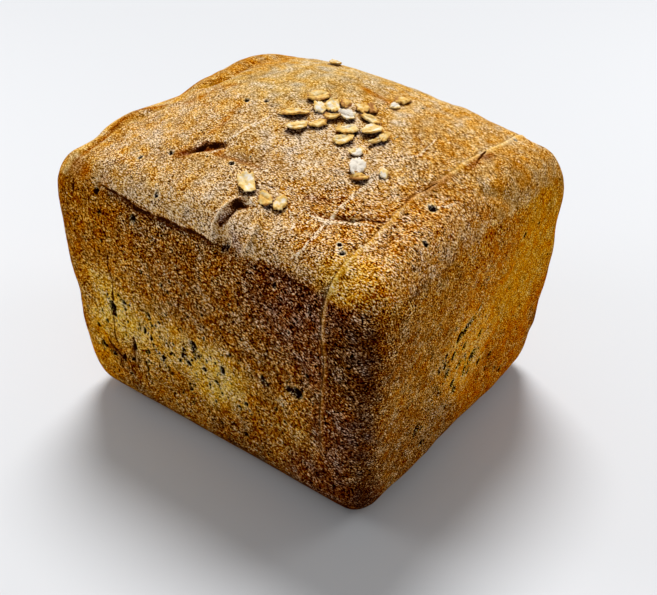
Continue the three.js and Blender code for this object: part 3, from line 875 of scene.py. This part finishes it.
# The sizes of the crust's unevenness in millimetres.
GRAIN, CLOTS, STROKES, CLUMPS, WARM_SPOTS, CALM_SPOTS = 0.38, 1.4, 1.7, 3.6, 4.5, 6.0
CRUST_ROUGHNESS = 0.75


def grain_of_crust(n, place):
    """Specks and short curled strokes, lighter and darker, on a display's scale, and the noises in them."""
    dashes = n.drawn_out(place, DASHES, DASH_STRETCH)
    grain = n.noise(dashes, GRAIN, distortion=0.6)
    clots = n.noise(place, CLOTS, distortion=1.2)
    clumps = n.noise(place, CLUMPS)
    specks = n.math("MULTIPLY", n.centred(grain), GRAIN_CONTRAST)
    specks = n.plus(specks, n.centred(clots), CLOT_CONTRAST)
    bend = n.math("ABSOLUTE", n.centred(n.noise(place, STROKES, detail=0.0, distortion=1.0)))
    strokes = n.math("MULTIPLY", n.span(bend, 0.05, 0.012), n.span(clots, 0.45, 0.6))
    specks = n.plus(specks, strokes, STROKE_CONTRAST)
    flecks = n.math("MULTIPLY", n.attribute("flour"), n.span(clumps, 0.35, 0.65, 0.1, 0.5))
    specks = n.plus(specks, n.span(grain, 0.56, 0.68), flecks)
    patchy = n.span(n.noise(place, CALM_SPOTS), 0.32, 0.68, 0.8, 1.2)
    specks = n.plus(n.math("MULTIPLY", specks, patchy), n.centred(clumps), CLUMP_CONTRAST)
    return n.math("MULTIPLY", specks, n.attribute("grainy")), grain, clots, clumps


def pores_of_crust(n, place, grain):
    """Where small slanted pores are open, from 0 to 1: more of them where the crust is porous."""
    inputs = {"Vector": n.drawn_out(place, SLITS, SLIT_STRETCH), "Scale": 1 / PORE_SPACING}
    cell = n.add("ShaderNodeTexVoronoi", inputs, feature="F1")
    chosen = n.add("ShaderNodeSeparateColor", {0: cell.outputs["Color"]}).outputs[0]
    spare = n.math("SUBTRACT", n.attribute("porous"), chosen)
    size = n.span(spare, 0.0, 0.4, 0.0, PORE_RADIUS / PORE_SPACING)
    edge = n.math("ADD", cell.outputs["Distance"], n.swing(grain, -0.04, 0.04))
    return n.span(n.math("SUBTRACT", edge, size), 0.03, -0.03)


def pale_places(n, colour, pit, grain, clots):
    """The colour with the pale ridges and the floury rims of the pits in it."""
    broken = n.math("ADD", n.swing(grain, 0.5, -0.5), n.span(clots, 0.35, 0.65, 0.4, -0.2))
    ridge = n.span(n.math("ADD", n.reach("pale"), broken), 1.5, 0.5)
    rim = n.math("MULTIPLY", n.span(pit, 2.2, 1.6), n.attribute("flour"))
    return n.mix(n.math("MULTIPLY", n.math("MAXIMUM", ridge, rim), 0.85), colour, FLOUR_CREAM)


def golden_seam(n, colour, beside, strength, rough_edge):
    """The colour with the raised dough seam in it, and where that is, from 0 to 1."""
    seam = n.span(n.plus(n.math("ABSOLUTE", beside), rough_edge, 1.4), 0.95, 0.3)
    seam = n.math("MULTIPLY", seam, strength)
    raised = n.vector_math("MAXIMUM", n.vector_math("ADD", colour, SEAM_LIGHTER), SEAM_GOLD)
    return n.mix(seam, colour, raised), seam


def crust_material():
    """Brown crust: graded dark and floury grain, pores, pits, thin cracks, pale ridges and the dough seam;
    painted shade darkens the pores, pits and cracks and the seam's shaded side.
    """
    n = Nodes("crust")
    place = n.millimetres()
    specks, grain, clots, clumps = grain_of_crust(n, place)
    warmth = n.centred(n.noise(place, WARM_SPOTS, detail=0.0))
    colour = n.shift(n.attribute("tone", "Vector"), warmth, WARMER)
    rough_edge = n.swing(grain, -0.4, 0.4)
    from_seam = n.attribute("seam", "Vector")
    beside = n.part(from_seam, 0)
    colour, seam = golden_seam(n, colour, beside, n.part(from_seam, 1), rough_edge)
    pit = n.math("ADD", n.reach("pit"), n.swing(grain, -0.25, 0.25))
    colour = pale_places(n, colour, pit, grain, clots)
    crack = n.math("ADD", n.math("ADD", n.reach("crack"), rough_edge), n.span(clumps, 0.35, 0.65, -0.4, 0.7))
    rusty = n.span(crack, 2.8, 1.2)
    colour = n.mix(n.math("MULTIPLY", rusty, 0.8), colour, CRACK_RUST)
    specks = n.math("MULTIPLY", specks, n.span(seam, 0.0, 1.0, 1.0, 0.65))
    specks = n.math("MULTIPLY", specks, n.span(crack, 2.8, 1.2, 1.0, 0.4))
    colour = n.from_display(n.shift(colour, specks, SPECK))

    shaded = n.math("ADD", n.math("ABSOLUTE", n.math("ADD", beside, 1.1)), rough_edge)
    shaded = n.math("MULTIPLY", n.span(shaded, 0.8, 0.2), n.part(from_seam, 2))
    colour = n.mix(shaded, colour, SEAM_SHADOW)
    # Painted shade in the cracks and in the open pores and pits.
    crack = n.span(crack, 1.5, 0.7)
    colour = n.mix(n.math("MULTIPLY", crack, 0.95), colour, CRACK_SHADE)
    hollow = n.math("MAXIMUM", pores_of_crust(n, place, grain), n.span(pit, 1.25, 0.95))
    height = n.math("ADD", n.math("MULTIPLY", grain, 0.5), n.math("MULTIPLY", clots, 0.7))
    n.bump(n.math("SUBTRACT", height, n.math("MAXIMUM", hollow, crack)), 0.5, 0.3)
    return n.finish(n.mix(hollow, colour, PIT_SHADE), CRUST_ROUGHNESS, gloss=0.0)


FLOURY_OAT = (0.86, 0.78, 0.66, 1)
CREAM_OAT = (0.87, 0.65, 0.28, 1)
GOLDEN_OAT = (0.78, 0.46, 0.10, 1)
TOASTED_OAT = (0.38, 0.15, 0.025, 1)
# The sizes of the oats' mottling and grain in millimetres.
OAT_MOTTLE, OAT_GRAIN = 2.4, 0.5
OAT_ROUGHNESS = 0.65


def oat_material():
    """Rolled oats: floury or cream in the middle, golden towards the rim, brown where they are toasted."""
    n = Nodes("oats")
    place = n.millimetres()
    mottle = n.noise(place, OAT_MOTTLE, detail=2.0)
    fine = n.noise(place, OAT_GRAIN, detail=2.0)
    tone = n.math("ADD", n.attribute("toast"), n.swing(mottle, -0.45, 0.45))
    tone = n.math("ADD", tone, n.span(n.attribute("rim"), 0.55, 1.0, 0.0, 0.4))
    tone = n.math("ADD", tone, n.swing(fine, -0.12, 0.12))
    colour = FLOURY_OAT
    for toasted, low, high in ((CREAM_OAT, -0.1, 0.45), (GOLDEN_OAT, 0.4, 0.95), (TOASTED_OAT, 0.95, 1.5)):
        colour = n.mix(n.span(tone, low, high), colour, toasted)
    n.bump(fine, 0.5, 0.15)
    return n.finish(colour, OAT_ROUGHNESS, gloss=0.15)


# The crust's tones, set on a display's scale. Where blue is below 0, only the palest specks have any.
FLOURY = (0.78, 0.60, 0.35)
CREAMY = (0.72, 0.58, 0.35)
WHEAT = (0.72, 0.52, 0.24)
HONEY = (0.65, 0.43, 0.12)
GOLDEN = (0.75, 0.50, 0.04)
STRAW = (0.85, 0.62, 0.10)
TOASTED = (0.62, 0.36, 0.02)
TAWNY = (0.80, 0.43, -0.15)
AMBER = (0.70, 0.40, -0.15)
RUSTY = (0.60, 0.25, -0.25)
CHESTNUT = (0.50, 0.22, -0.20)
BROWN = (0.40, 0.14, -0.20)
UMBER = (0.25, 0.00, -0.20)
# Painted shade of the near front corner.
CORNER_SHADE_BROWN = (0.15, -0.05, -0.25)

# Browning of the crust in patches, with painted shade in those near the front corner: middle and reach, tone,
# flour, strength of the grain, and pores.
TOP_PATCHES = [
    ((20, -17, 119), 22, FLOURY, 0.8, 0.95, 0.05),
    ((-25, -30, 119), 20, WHEAT, 0.6, 0.7, 0.08),
    ((-38, -52, 110), 18, WHEAT, 0.65, 0.85, 0.05),
    ((-12, 14, 128), 24, CREAMY, 0.55, 0.4, 0.02),
    ((38, 28, 118), 26, WHEAT, 0.55, 0.5, 0.02),
    ((54, 4, 114), 14, HONEY, 0.55, 0.8, 0.04),
    ((20, -56, 108), 18, FLOURY, 0.85, 1, 0.05),
    ((66, -38, 106), 16, TOASTED, 0.7, 1, 0.05),
    ((38, -44, 110), 18, TOASTED, 0.8, 1, 0.05),
    ((-66, -46, 107), 12, HONEY, 0.4, 0.6, 0.02),
    ((-60, -62, 102), 6, HONEY, 0.25, 0.6, 0.05),
    ((-48, 22, 118), 20, HONEY, 0.35, 0.5, 0.02),
    ((75, 30, 104), 18, HONEY, 0.35, 0.6, 0.02),
    ((74, -10, 102), 14, TOASTED, 0.6, 0.9, 0.04),
    ((73, -60, 99), 9, RUSTY, 0.65, 1, 0.03),
    ((62, -58, 103), 10, GOLDEN, 0.65, 1, 0.04),
    ((0, 62, 105), 30, CREAMY, 0.4, 0.5, 0.02),
]
SIDE_PATCHES = [
    # The front, from its rim to its foot.
    ((-56, -66, 85), 18, CHESTNUT, 0.05, 0.8, 0.10),
    ((-12, -65, 92), 22, BROWN, 0.3, 1, 0.06),
    ((40, -66, 84), 16, UMBER, 0.3, 1, 0.05),
    ((6, -66, 76), 22, BROWN, 0.35, 1, 0.06),
    ((-34, -66, 68), 14, CHESTNUT, 0.25, 1, 0.12),
    ((30, -66, 60), 14, BROWN, 0.3, 1, 0.08),
    ((-61, -65, 52), 7, CHESTNUT, 0.05, 0.9, 0.12),
    ((-46, -65, 50), 14, STRAW, 0.15, 1, 0.40),
    ((-22, -65, 44), 14, GOLDEN, 0.2, 1, 0.45),
    ((8, -65, 43), 14, STRAW, 0.3, 1, 0.40),
    ((32, -65, 36), 14, CHESTNUT, 0.25, 1, 0.20),
    ((-56, -64, 26), 12, AMBER, 0.05, 0.8, 0.12),
    ((-43, -64, 24), 8, BROWN, 0.1, 1, 0.15),
    ((-20, -64, 20), 15, CHESTNUT, 0.1, 1, 0.20),
    ((48, -64, 18), 8, UMBER, 0.1, 1, 0.10),
    ((20, -64, 17), 14, BROWN, 0.15, 1, 0.15),
    # Towards and round the front corner, darker with painted shade.
    ((63, -66, 76), 9, CORNER_SHADE_BROWN, 0.15, 1, 0.03),
    ((48, -66, 72), 9, UMBER, 0.15, 1, 0.03),
    ((62, -65, 40), 9, UMBER, 0.2, 1, 0.05),
    ((71, -58, 30), 6, BROWN, 0.1, 1, 0.05),
    ((70, -62, 12), 7, UMBER, 0.05, 0.8, 0.05),
    # The right end, from its rim to its foot.
    ((77, 2, 86), 18, RUSTY, 0.15, 1, 0.05),
    ((77, -30, 84), 16, CHESTNUT, 0.15, 1, 0.05),
    ((77, -50, 76), 10, BROWN, 0.15, 1, 0.05),
    ((77, 36, 66), 22, AMBER, 0.05, 0.7, 0.06),
    ((76, -34, 55), 16, CHESTNUT, 0.15, 1, 0.06),
    ((75, -4, 50), 15, TAWNY, 0.15, 1, 0.35),
    ((75, -48, 40), 10, BROWN, 0.15, 1, 0.05),
    ((73, 25, 24), 18, RUSTY, 0.05, 0.8, 0.15),
    ((73, -30, 20), 16, BROWN, 0.15, 1, 0.08),
    # The outer edges of the front and the right end.
    ((-74, -62, 84), 8, CHESTNUT, 0.05, 0.8, 0.05),
    ((-72, -60, 58), 8, CHESTNUT, 0.05, 0.8, 0.08),
    ((-69, -58, 32), 8, BROWN, 0.05, 0.8, 0.10),
    ((77, 56, 82), 9, AMBER, 0.05, 0.7, 0.05),
    ((74, 54, 44), 9, RUSTY, 0.05, 0.7, 0.08),
]
# The height of the rim between the sides and the top, and how much lower it is at the right end.
RIM_HEIGHT = 99.3
RIM_DIP = 3.2


def blend_patches(points, patches):
    """The patches' colour, flour, grain and pores, blended smoothly between them."""
    weights = 0
    total = 0
    for middle, reach, colour, *rest in patches:
        weight = np.exp(-1.5 * ((points - middle) ** 2).sum(axis=1) / reach**2)[:, None] + 1e-9
        total = total + weight * np.array([*colour, *rest])
        weights = weights + weight
    return total / weights


# The two far sides are a more even brown than the near ones.
FAR_BROWN = np.array([0.42, 0.24, 0.0])
FAR_EVENNESS = 0.5


def turned_round(patches):
    """The same patches on the two sides that face away, with their colours evened out."""
    return [
        ((-x, -y, z), reach, tuple(colour + FAR_EVENNESS * (FAR_BROWN - colour)), *rest)
        for (x, y, z), reach, colour, *rest in patches
    ]


# Stains of the crust, and painted shade among them: the side they are drawn on, half their width, strength,
# display colour and points.
STAINS_AND_SHADE = [
    # The rolled lip's pale edge and the brown groove inside it, in two runs.
    ("top", 2.3, 0.9, (0.84, 0.67, 0.38), [
        (-67.4, -61), (-66.3, -57.7), (-68.2, -48.5), (-68.8, -40), (-68.5, -32), (-67.9, -24.8),
        (-64.8, -20), (-57.1, -18.9), (-52, -18.4)
    ]),
    ("top", 1.4, 0.95, (0.50, 0.24, -0.04), [
        (-64.9, -60.9), (-63.5, -55.2), (-63.8, -47.4), (-64.4, -40.7), (-64.4, -33.7), (-63.8, -26.4),
        (-57.8, -23.8), (-54.3, -20.3)
    ]),
    ("top", 1.8, 0.6, (0.80, 0.64, 0.36), [
        (-61.9, -51.4), (-62.2, -43.6), (-61.6, -36.4), (-59.4, -30.5), (-53, -23)
    ]),
    ("top", 1.5, 0.6, (0.74, 0.54, 0.16), [
        (-52, -16.8), (-48.9, -10.6), (-41.5, -6.8), (-36.1, -4.2), (-32.3, 0)
    ]),
    ("top", 1.3, 0.85, (0.54, 0.28, 0.0), [
        (-46.9, -20.8), (-43.1, -19.2), (-39.9, -17), (-37.4, -13), (-35.2, -9.8), (-31.3, -6.6)
    ]),
    # The torn fold, its reddish start and the grooves that lead from it.
    ("top", 1.5, 0.6, (0.56, 0.32, 0.04), [(-33, -48.5), (-29, -46.6), (-24, -44.6)]),
    ("top", 2.6, 0.55, (0.52, 0.28, 0.08), [(-24, -44), (-18, -41), (-11, -36.5)]),
    ("top", 1.7, 0.8, (0.33, 0.10, -0.02), [(-23, -44), (-18.5, -41.8), (-15.5, -38.8)]),
    ("top", 1.4, 0.85, (0.50, 0.26, 0.04), [
        (-11.3, -39.3), (-6.5, -39.6), (-2.4, -39.1), (2.4, -38.3), (6.8, -38)
    ]),
    ("top", 1.5, 0.75, (0.62, 0.34, 0.02), [
        (-18.9, -33.2), (-18, -28.6), (-18.6, -23.8), (-19.9, -16.8)
    ]),
    # The burst blister.
    ("top", 1.1, 0.85, (0.27, 0.10, 0.02), [
        (8.6, -60.2), (9.8, -57.7), (10.7, -56), (11.2, -54), (12.6, -52.9), (14.8, -53.2)
    ]),
    ("top", 0.9, 0.6, (0.74, 0.52, 0.26), [
        (7.4, -62.3), (7.1, -59.3), (8.1, -57.2), (9.4, -54.4), (11, -52.2)
    ]),
    # Folds near the crack and behind the oats.
    ("top", 1.6, 0.75, (0.46, 0.23, 0.04), [(36, -43.8), (41, -42), (48, -38.3), (56, -33)]),
    ("top", 1.3, 0.8, (0.42, 0.18, 0.02), [(29.4, -39.9), (33.6, -38), (36.8, -36.6), (39.6, -32.4)]),
    ("top", 2.2, 0.8, (0.60, 0.32, 0.02), [(8.8, 21.3), (14.5, 20.3), (20.2, 20)]),
    ("top", 1.2, 0.5, (0.58, 0.33, 0.10), [(36.1, 12.2), (40.3, 10.1), (44.7, 7.9)]),
    ("top", 1.8, 0.7, (0.48, 0.24, 0.04), [(56, -20), (57.4, -9.3), (59, 3)]),
    ("top", 1.5, 0.8, (0.46, 0.22, 0.02), [(60.2, 14), (59.4, 22), (60.6, 28)]),
    ("top", 2.2, 0.5, (0.84, 0.70, 0.48), [
        (25.6, 17.3), (25, 23.5), (25.6, 32.1), (25.3, 42.6), (21.8, 54)
    ]),
    # Floury and toasted spots.
    ("top", 4.0, 0.35, (0.84, 0.74, 0.60), [(-1, -25.6), (0, -25.6)]),
    ("top", 3.4, 0.45, (0.84, 0.74, 0.58), [(29, 14.5), (32.5, 10)]),
    ("top", 4.0, 0.25, (0.86, 0.77, 0.64), [(20, -29.4), (21, -29.4)]),
    ("top", 5.5, 0.7, (0.57, 0.38, 0.15), [(3, -36), (10, -34.5), (15, -33)]),
    ("top", 4.0, 0.55, (0.62, 0.42, 0.18), [(28, -25), (30, -24)]),
    ("top", 3.6, 0.6, (0.58, 0.40, 0.16), [(40, -14), (44, -12)]),
    ("top", 2.6, 0.7, (0.30, 0.11, 0.0), [(14, -63), (19, -63)]),
    ("top", 2.2, 0.8, (0.66, 0.33, -0.05), [(-61.7, -60.5), (-55, -61)]),
    ("top", 1.7, 0.8, (0.62, 0.30, -0.05), [(-48.5, -61.6), (-45.5, -61.4)]),
    # Painted shade in the crease under the front's rim and under the right end's rim, and the foot, browned
    # and darkened by a painted contact shadow, also under the lifted rear corner of the right end.
    ("front", 1.7, 0.6, (0.24, 0.12, 0.02), [
        (-46, 99.6), (-36, 98.8), (-24, 98), (-12, 97.8), (2, 97.4), (16, 97.6)
    ]),
    ("front", 2.4, 0.6, (0.18, 0.04, -0.08), [(43, 97.5), (56, 98.5)]),
    ("front", 4.0, 0.75, (0.24, 0.10, -0.04), [(-58, 5.5), (60, 5.5)]),
    ("end", 4.0, 0.75, (0.24, 0.10, -0.04), [(-54, 5.5), (52, 5.5)]),
    ("end", 1.3, 0.5, (0.30, 0.14, 0.02), [(-48, 96), (-30, 96), (-16, 97.6)]),
    # Browned smudges low on the front.
    ("front", 3.6, 0.5, (0.30, 0.14, -0.04), [(-58, 18), (-50, 12), (-38, 13), (-28, 9)]),
    ("front", 3.0, 0.55, (0.24, 0.09, -0.04), [(6, 8), (18, 10), (30, 8), (44, 9)]),
    ("front", 2.0, 0.6, (0.26, 0.10, -0.04), [(-54, 28), (-48, 26), (-46, 21)]),
    ("front", 1.8, 0.6, (0.26, 0.10, -0.04), [(-38, 38), (-38.5, 30), (-40, 22)]),
    # The blistered ring low on the front.
    ("front", 1.1, 0.6, (0.56, 0.30, 0.00), [(-52, 41), (-50.6, 37.2), (-47.6, 36), (-45.6, 38.6)]),
]
# How much calmer a full stain or painted shadow makes the grain.
STAIN_AND_SHADE_CALM = 0.5
# The painted shade down the near front corner: its middle at the foot and at the rim, half its width and where
# it ends above.
CORNER_SHADE_FOOT = (69.5, -60.5, 15)
CORNER_SHADE_RIM = (72.5, -64.5, 92)
CORNER_SHADE_HALF_WIDTH = 6.5
CORNER_SHADE_ENDS = (88, 98)
CORNER_SHADE_STRENGTH = 0.75
CORNER_SHADE_CALM = 0.4
CORNER_SHADE_COLOUR = (0.20, 0.05, -0.06)
# The oats' painted shadows, with toasted crust under them: how far they lie to the shaded side, their strength
# and colour.
OAT_SHADOW_SHIFT = (0.6, -0.75)
OAT_SHADOW_STRENGTH = 0.8
OAT_SHADOW_COLOUR = (0.16, 0.06, 0.0)
# The front's porous band, from its left end to its right end.
PORES_BAND = [(-60, 50), (-40, 49), (-22, 43), (-2, 40), (18, 37), (36, 34), (50, 30)]
# How far from the band's middle its pores start to thin out, and where they end.
PORES_SPREAD = (4.5, 11.7)
PORES_SHARE = 0.42


def add_stains_and_shade(points, tone):
    """The tone with the stains, the oats' painted shadows and the near corner's painted shade in it, and how
    calm each place's grain is left by them.
    """
    kink = LINE_KINK * noise(points, 3, 51)
    calm = np.ones(len(points))
    faded = np.clip(0.85 + 0.7 * noise(points, 4, 62), 0.1, 1)
    for side, half_width, strength, colour, course in STAINS_AND_SHADE:
        across, along, shown = on_side(points, side, kink)
        near = distance_to_course(across, along, course)
        share = strength * faded * shown * bell(near / half_width)
        tone = tone + (np.array(colour) - tone) * share[:, None]
        calm *= 1 - STAIN_AND_SHADE_CALM * share
    # The oats' painted shadows, with toasted crust under them.
    share = painted_oat_shadows(points)
    tone = tone + (np.array(OAT_SHADOW_COLOUR) - tone) * share[:, None]
    calm *= 1 - STAIN_AND_SHADE_CALM * share
    # The painted shade down the near front corner.
    z = points[:, 2]
    place = smoothstep(z, CORNER_SHADE_FOOT[2], CORNER_SHADE_RIM[2])[:, None]
    middle = np.array(CORNER_SHADE_FOOT) + (np.array(CORNER_SHADE_RIM) - CORNER_SHADE_FOOT) * place
    near = np.hypot(points[:, 0] - middle[:, 0], points[:, 1] - middle[:, 1])
    share = CORNER_SHADE_STRENGTH * bell(near / CORNER_SHADE_HALF_WIDTH) * (1 - smoothstep(z, *CORNER_SHADE_ENDS))
    calm *= 1 - CORNER_SHADE_CALM * share
    return tone + (np.array(CORNER_SHADE_COLOUR) - tone) * share[:, None], calm


def painted_oat_shadows(points):
    """How strongly each place is darkened by an oat's painted shadow and the toasted crust under it."""
    share = np.zeros(len(points))
    for x, y, length, width, heading, *_ in OATS:
        aim = math.radians(heading)
        dx = points[:, 0] - x - OAT_SHADOW_SHIFT[0]
        dy = points[:, 1] - y - OAT_SHADOW_SHIFT[1]
        along = (dx * math.cos(aim) + dy * math.sin(aim)) / (0.5 * length)
        across = (dy * math.cos(aim) - dx * math.sin(aim)) / (0.5 * width)
        share = np.maximum(share, 1 - smoothstep(np.hypot(along, across), 0.85, 1.1))
    return OAT_SHADOW_STRENGTH * share * (points[:, 2] > SIDE_HEIGHT)


def porous_band(points):
    across, along, shown = on_side(points, "front", 3 * noise(points, 14, 63))
    away = smoothstep(distance_to_course(across, along, PORES_BAND), *PORES_SPREAD)
    return PORES_SHARE * shown * (1 - away)


def seam_strengths(z):
    """How golden the seam is at each height, and how dark its shaded side."""
    shown = seam_shown(z)
    on_crown = smoothstep(z, 99, 106)
    golden = shown * (0.7 + 0.25 * smoothstep(z, 50, 95)) * (1 - 0.1 * on_crown)
    return golden, shown * (0.8 - 0.45 * on_crown)


def colour_crust(loaf):
    """Stores, at each point of the mesh, all that the crust's material needs to know of the place."""
    points = mesh_points(loaf)
    x, _, z = points.T
    mottled = wrinkles(points)
    top = blend_patches(points, TOP_PATCHES)
    sides = blend_patches(points, SIDE_PATCHES + turned_round(SIDE_PATCHES))
    rim = RIM_HEIGHT - RIM_DIP * smoothstep(x, 30, 60) + noise(points, 6, 61)
    on_top = smoothstep(z, rim - 1, rim + 1.5)[:, None]
    looks = sides + (top - sides) * on_top
    shade = mottled[:, None] * (0.04 + 0.05 * on_top)
    tone, calm = add_stains_and_shade(points, looks[:, :3] + shade * (0.8, 1.15, 1.6))
    set_attribute(loaf, "tone", tone)
    set_attribute(loaf, "flour", np.clip(looks[:, 3] * (1 + 0.5 * mottled), 0, 1))
    set_attribute(loaf, "grainy", looks[:, 4] * calm)
    set_attribute(loaf, "porous", np.maximum(looks[:, 5], porous_band(points)))
    set_attribute(loaf, "pit", ways_from_pits(points)[0])
    set_attribute(loaf, "crack", ways_from_lines(points, CRACKS)[0])
    set_attribute(loaf, "pale", ways_from_lines(points, PALE_LINES)[0])
    set_attribute(loaf, "seam", np.stack([seam_offset(points), *seam_strengths(z)], axis=1))


# ---------------------------------------------------------------- studio

PICTURE_WIDTH = 657
FOCAL_PIXELS = 1000
SENSOR_WIDTH = 36
CAMERA_AT = (213.6, -266.6, 271.3)
CAMERA_AIM = (-0.5048, 0.6545, -0.5628)
KEY_AIM = (0.45, -0.6, -1.15)
KEY_POWER = 3.3
KEY_SPREAD = math.radians(24)
# The side lights' places and size in metres.
SIDE_LIGHTS = {"left": (-0.62, -0.34, 0.34), "right": (0.42, 0.62, 0.36)}
SIDE_LIGHTS_AIM_AT = (0, 0, 0.06)
SIDE_LIGHT_SIZE = 0.35
SIDE_POWER = 1.3
SKY_STRENGTH = 0.31
FLOOR_GREY = (0.64, 0.65, 0.67, 1)
FLOOR_REACH = 4000


def make_camera():
    data = bpy.data.cameras.new("camera")
    data.sensor_width = SENSOR_WIDTH
    data.lens = SENSOR_WIDTH * FOCAL_PIXELS / PICTURE_WIDTH
    camera = bpy.data.objects.new("camera", data)
    camera.location = Vector(CAMERA_AT) * MM
    camera.rotation_euler = Vector(CAMERA_AIM).to_track_quat("-Z", "Y").to_euler()
    bpy.context.scene.collection.objects.link(camera)
    bpy.context.scene.camera = camera


def make_light(name, kind, aim, power):
    """A light that shines a way, and its data."""
    data = bpy.data.lights.new(name, kind)
    data.energy = power
    light = bpy.data.objects.new(name, data)
    light.rotation_euler = Vector(aim).to_track_quat("-Z", "Y").to_euler()
    bpy.context.scene.collection.objects.link(light)
    return light, data


def make_lights():
    """The broad soft key light from behind the loaf on the left, and a soft light on each side."""
    _, key = make_light("key", "SUN", KEY_AIM, KEY_POWER)
    key.angle = KEY_SPREAD
    for name, place in SIDE_LIGHTS.items():
        light, data = make_light(name, "AREA", Vector(SIDE_LIGHTS_AIM_AT) - Vector(place), SIDE_POWER)
        light.location = place
        data.shape = "DISK"
        data.size = SIDE_LIGHT_SIZE


def make_studio():
    corners = FLOOR_REACH * np.array([(-1, -1, 0), (1, -1, 0), (1, 1, 0), (-1, 1, 0)], float)
    floor = new_mesh_object("floor", corners, np.array([[0, 1, 2, 3]]), smooth=False)
    floor.data.materials.append(Nodes("floor").finish(FLOOR_GREY, 0.9, gloss=0.5))
    world = bpy.data.worlds.new("studio")
    world.use_nodes = True
    background = world.node_tree.nodes["Background"]
    background.inputs["Color"].default_value = (1, 1, 1, 1)
    background.inputs["Strength"].default_value = SKY_STRENGTH
    bpy.context.scene.world = world
    bpy.context.scene.view_settings.view_transform = "Standard"


loaf = make_loaf()
lay_out_flat(loaf)
colour_crust(loaf)
loaf.data.materials.append(crust_material())
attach(loaf, "root")
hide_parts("loaf")

oats = make_oats()
oats.data.materials.append(oat_material())
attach(oats, "root")
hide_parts("loaf")

make_camera()
make_studio()
make_lights()
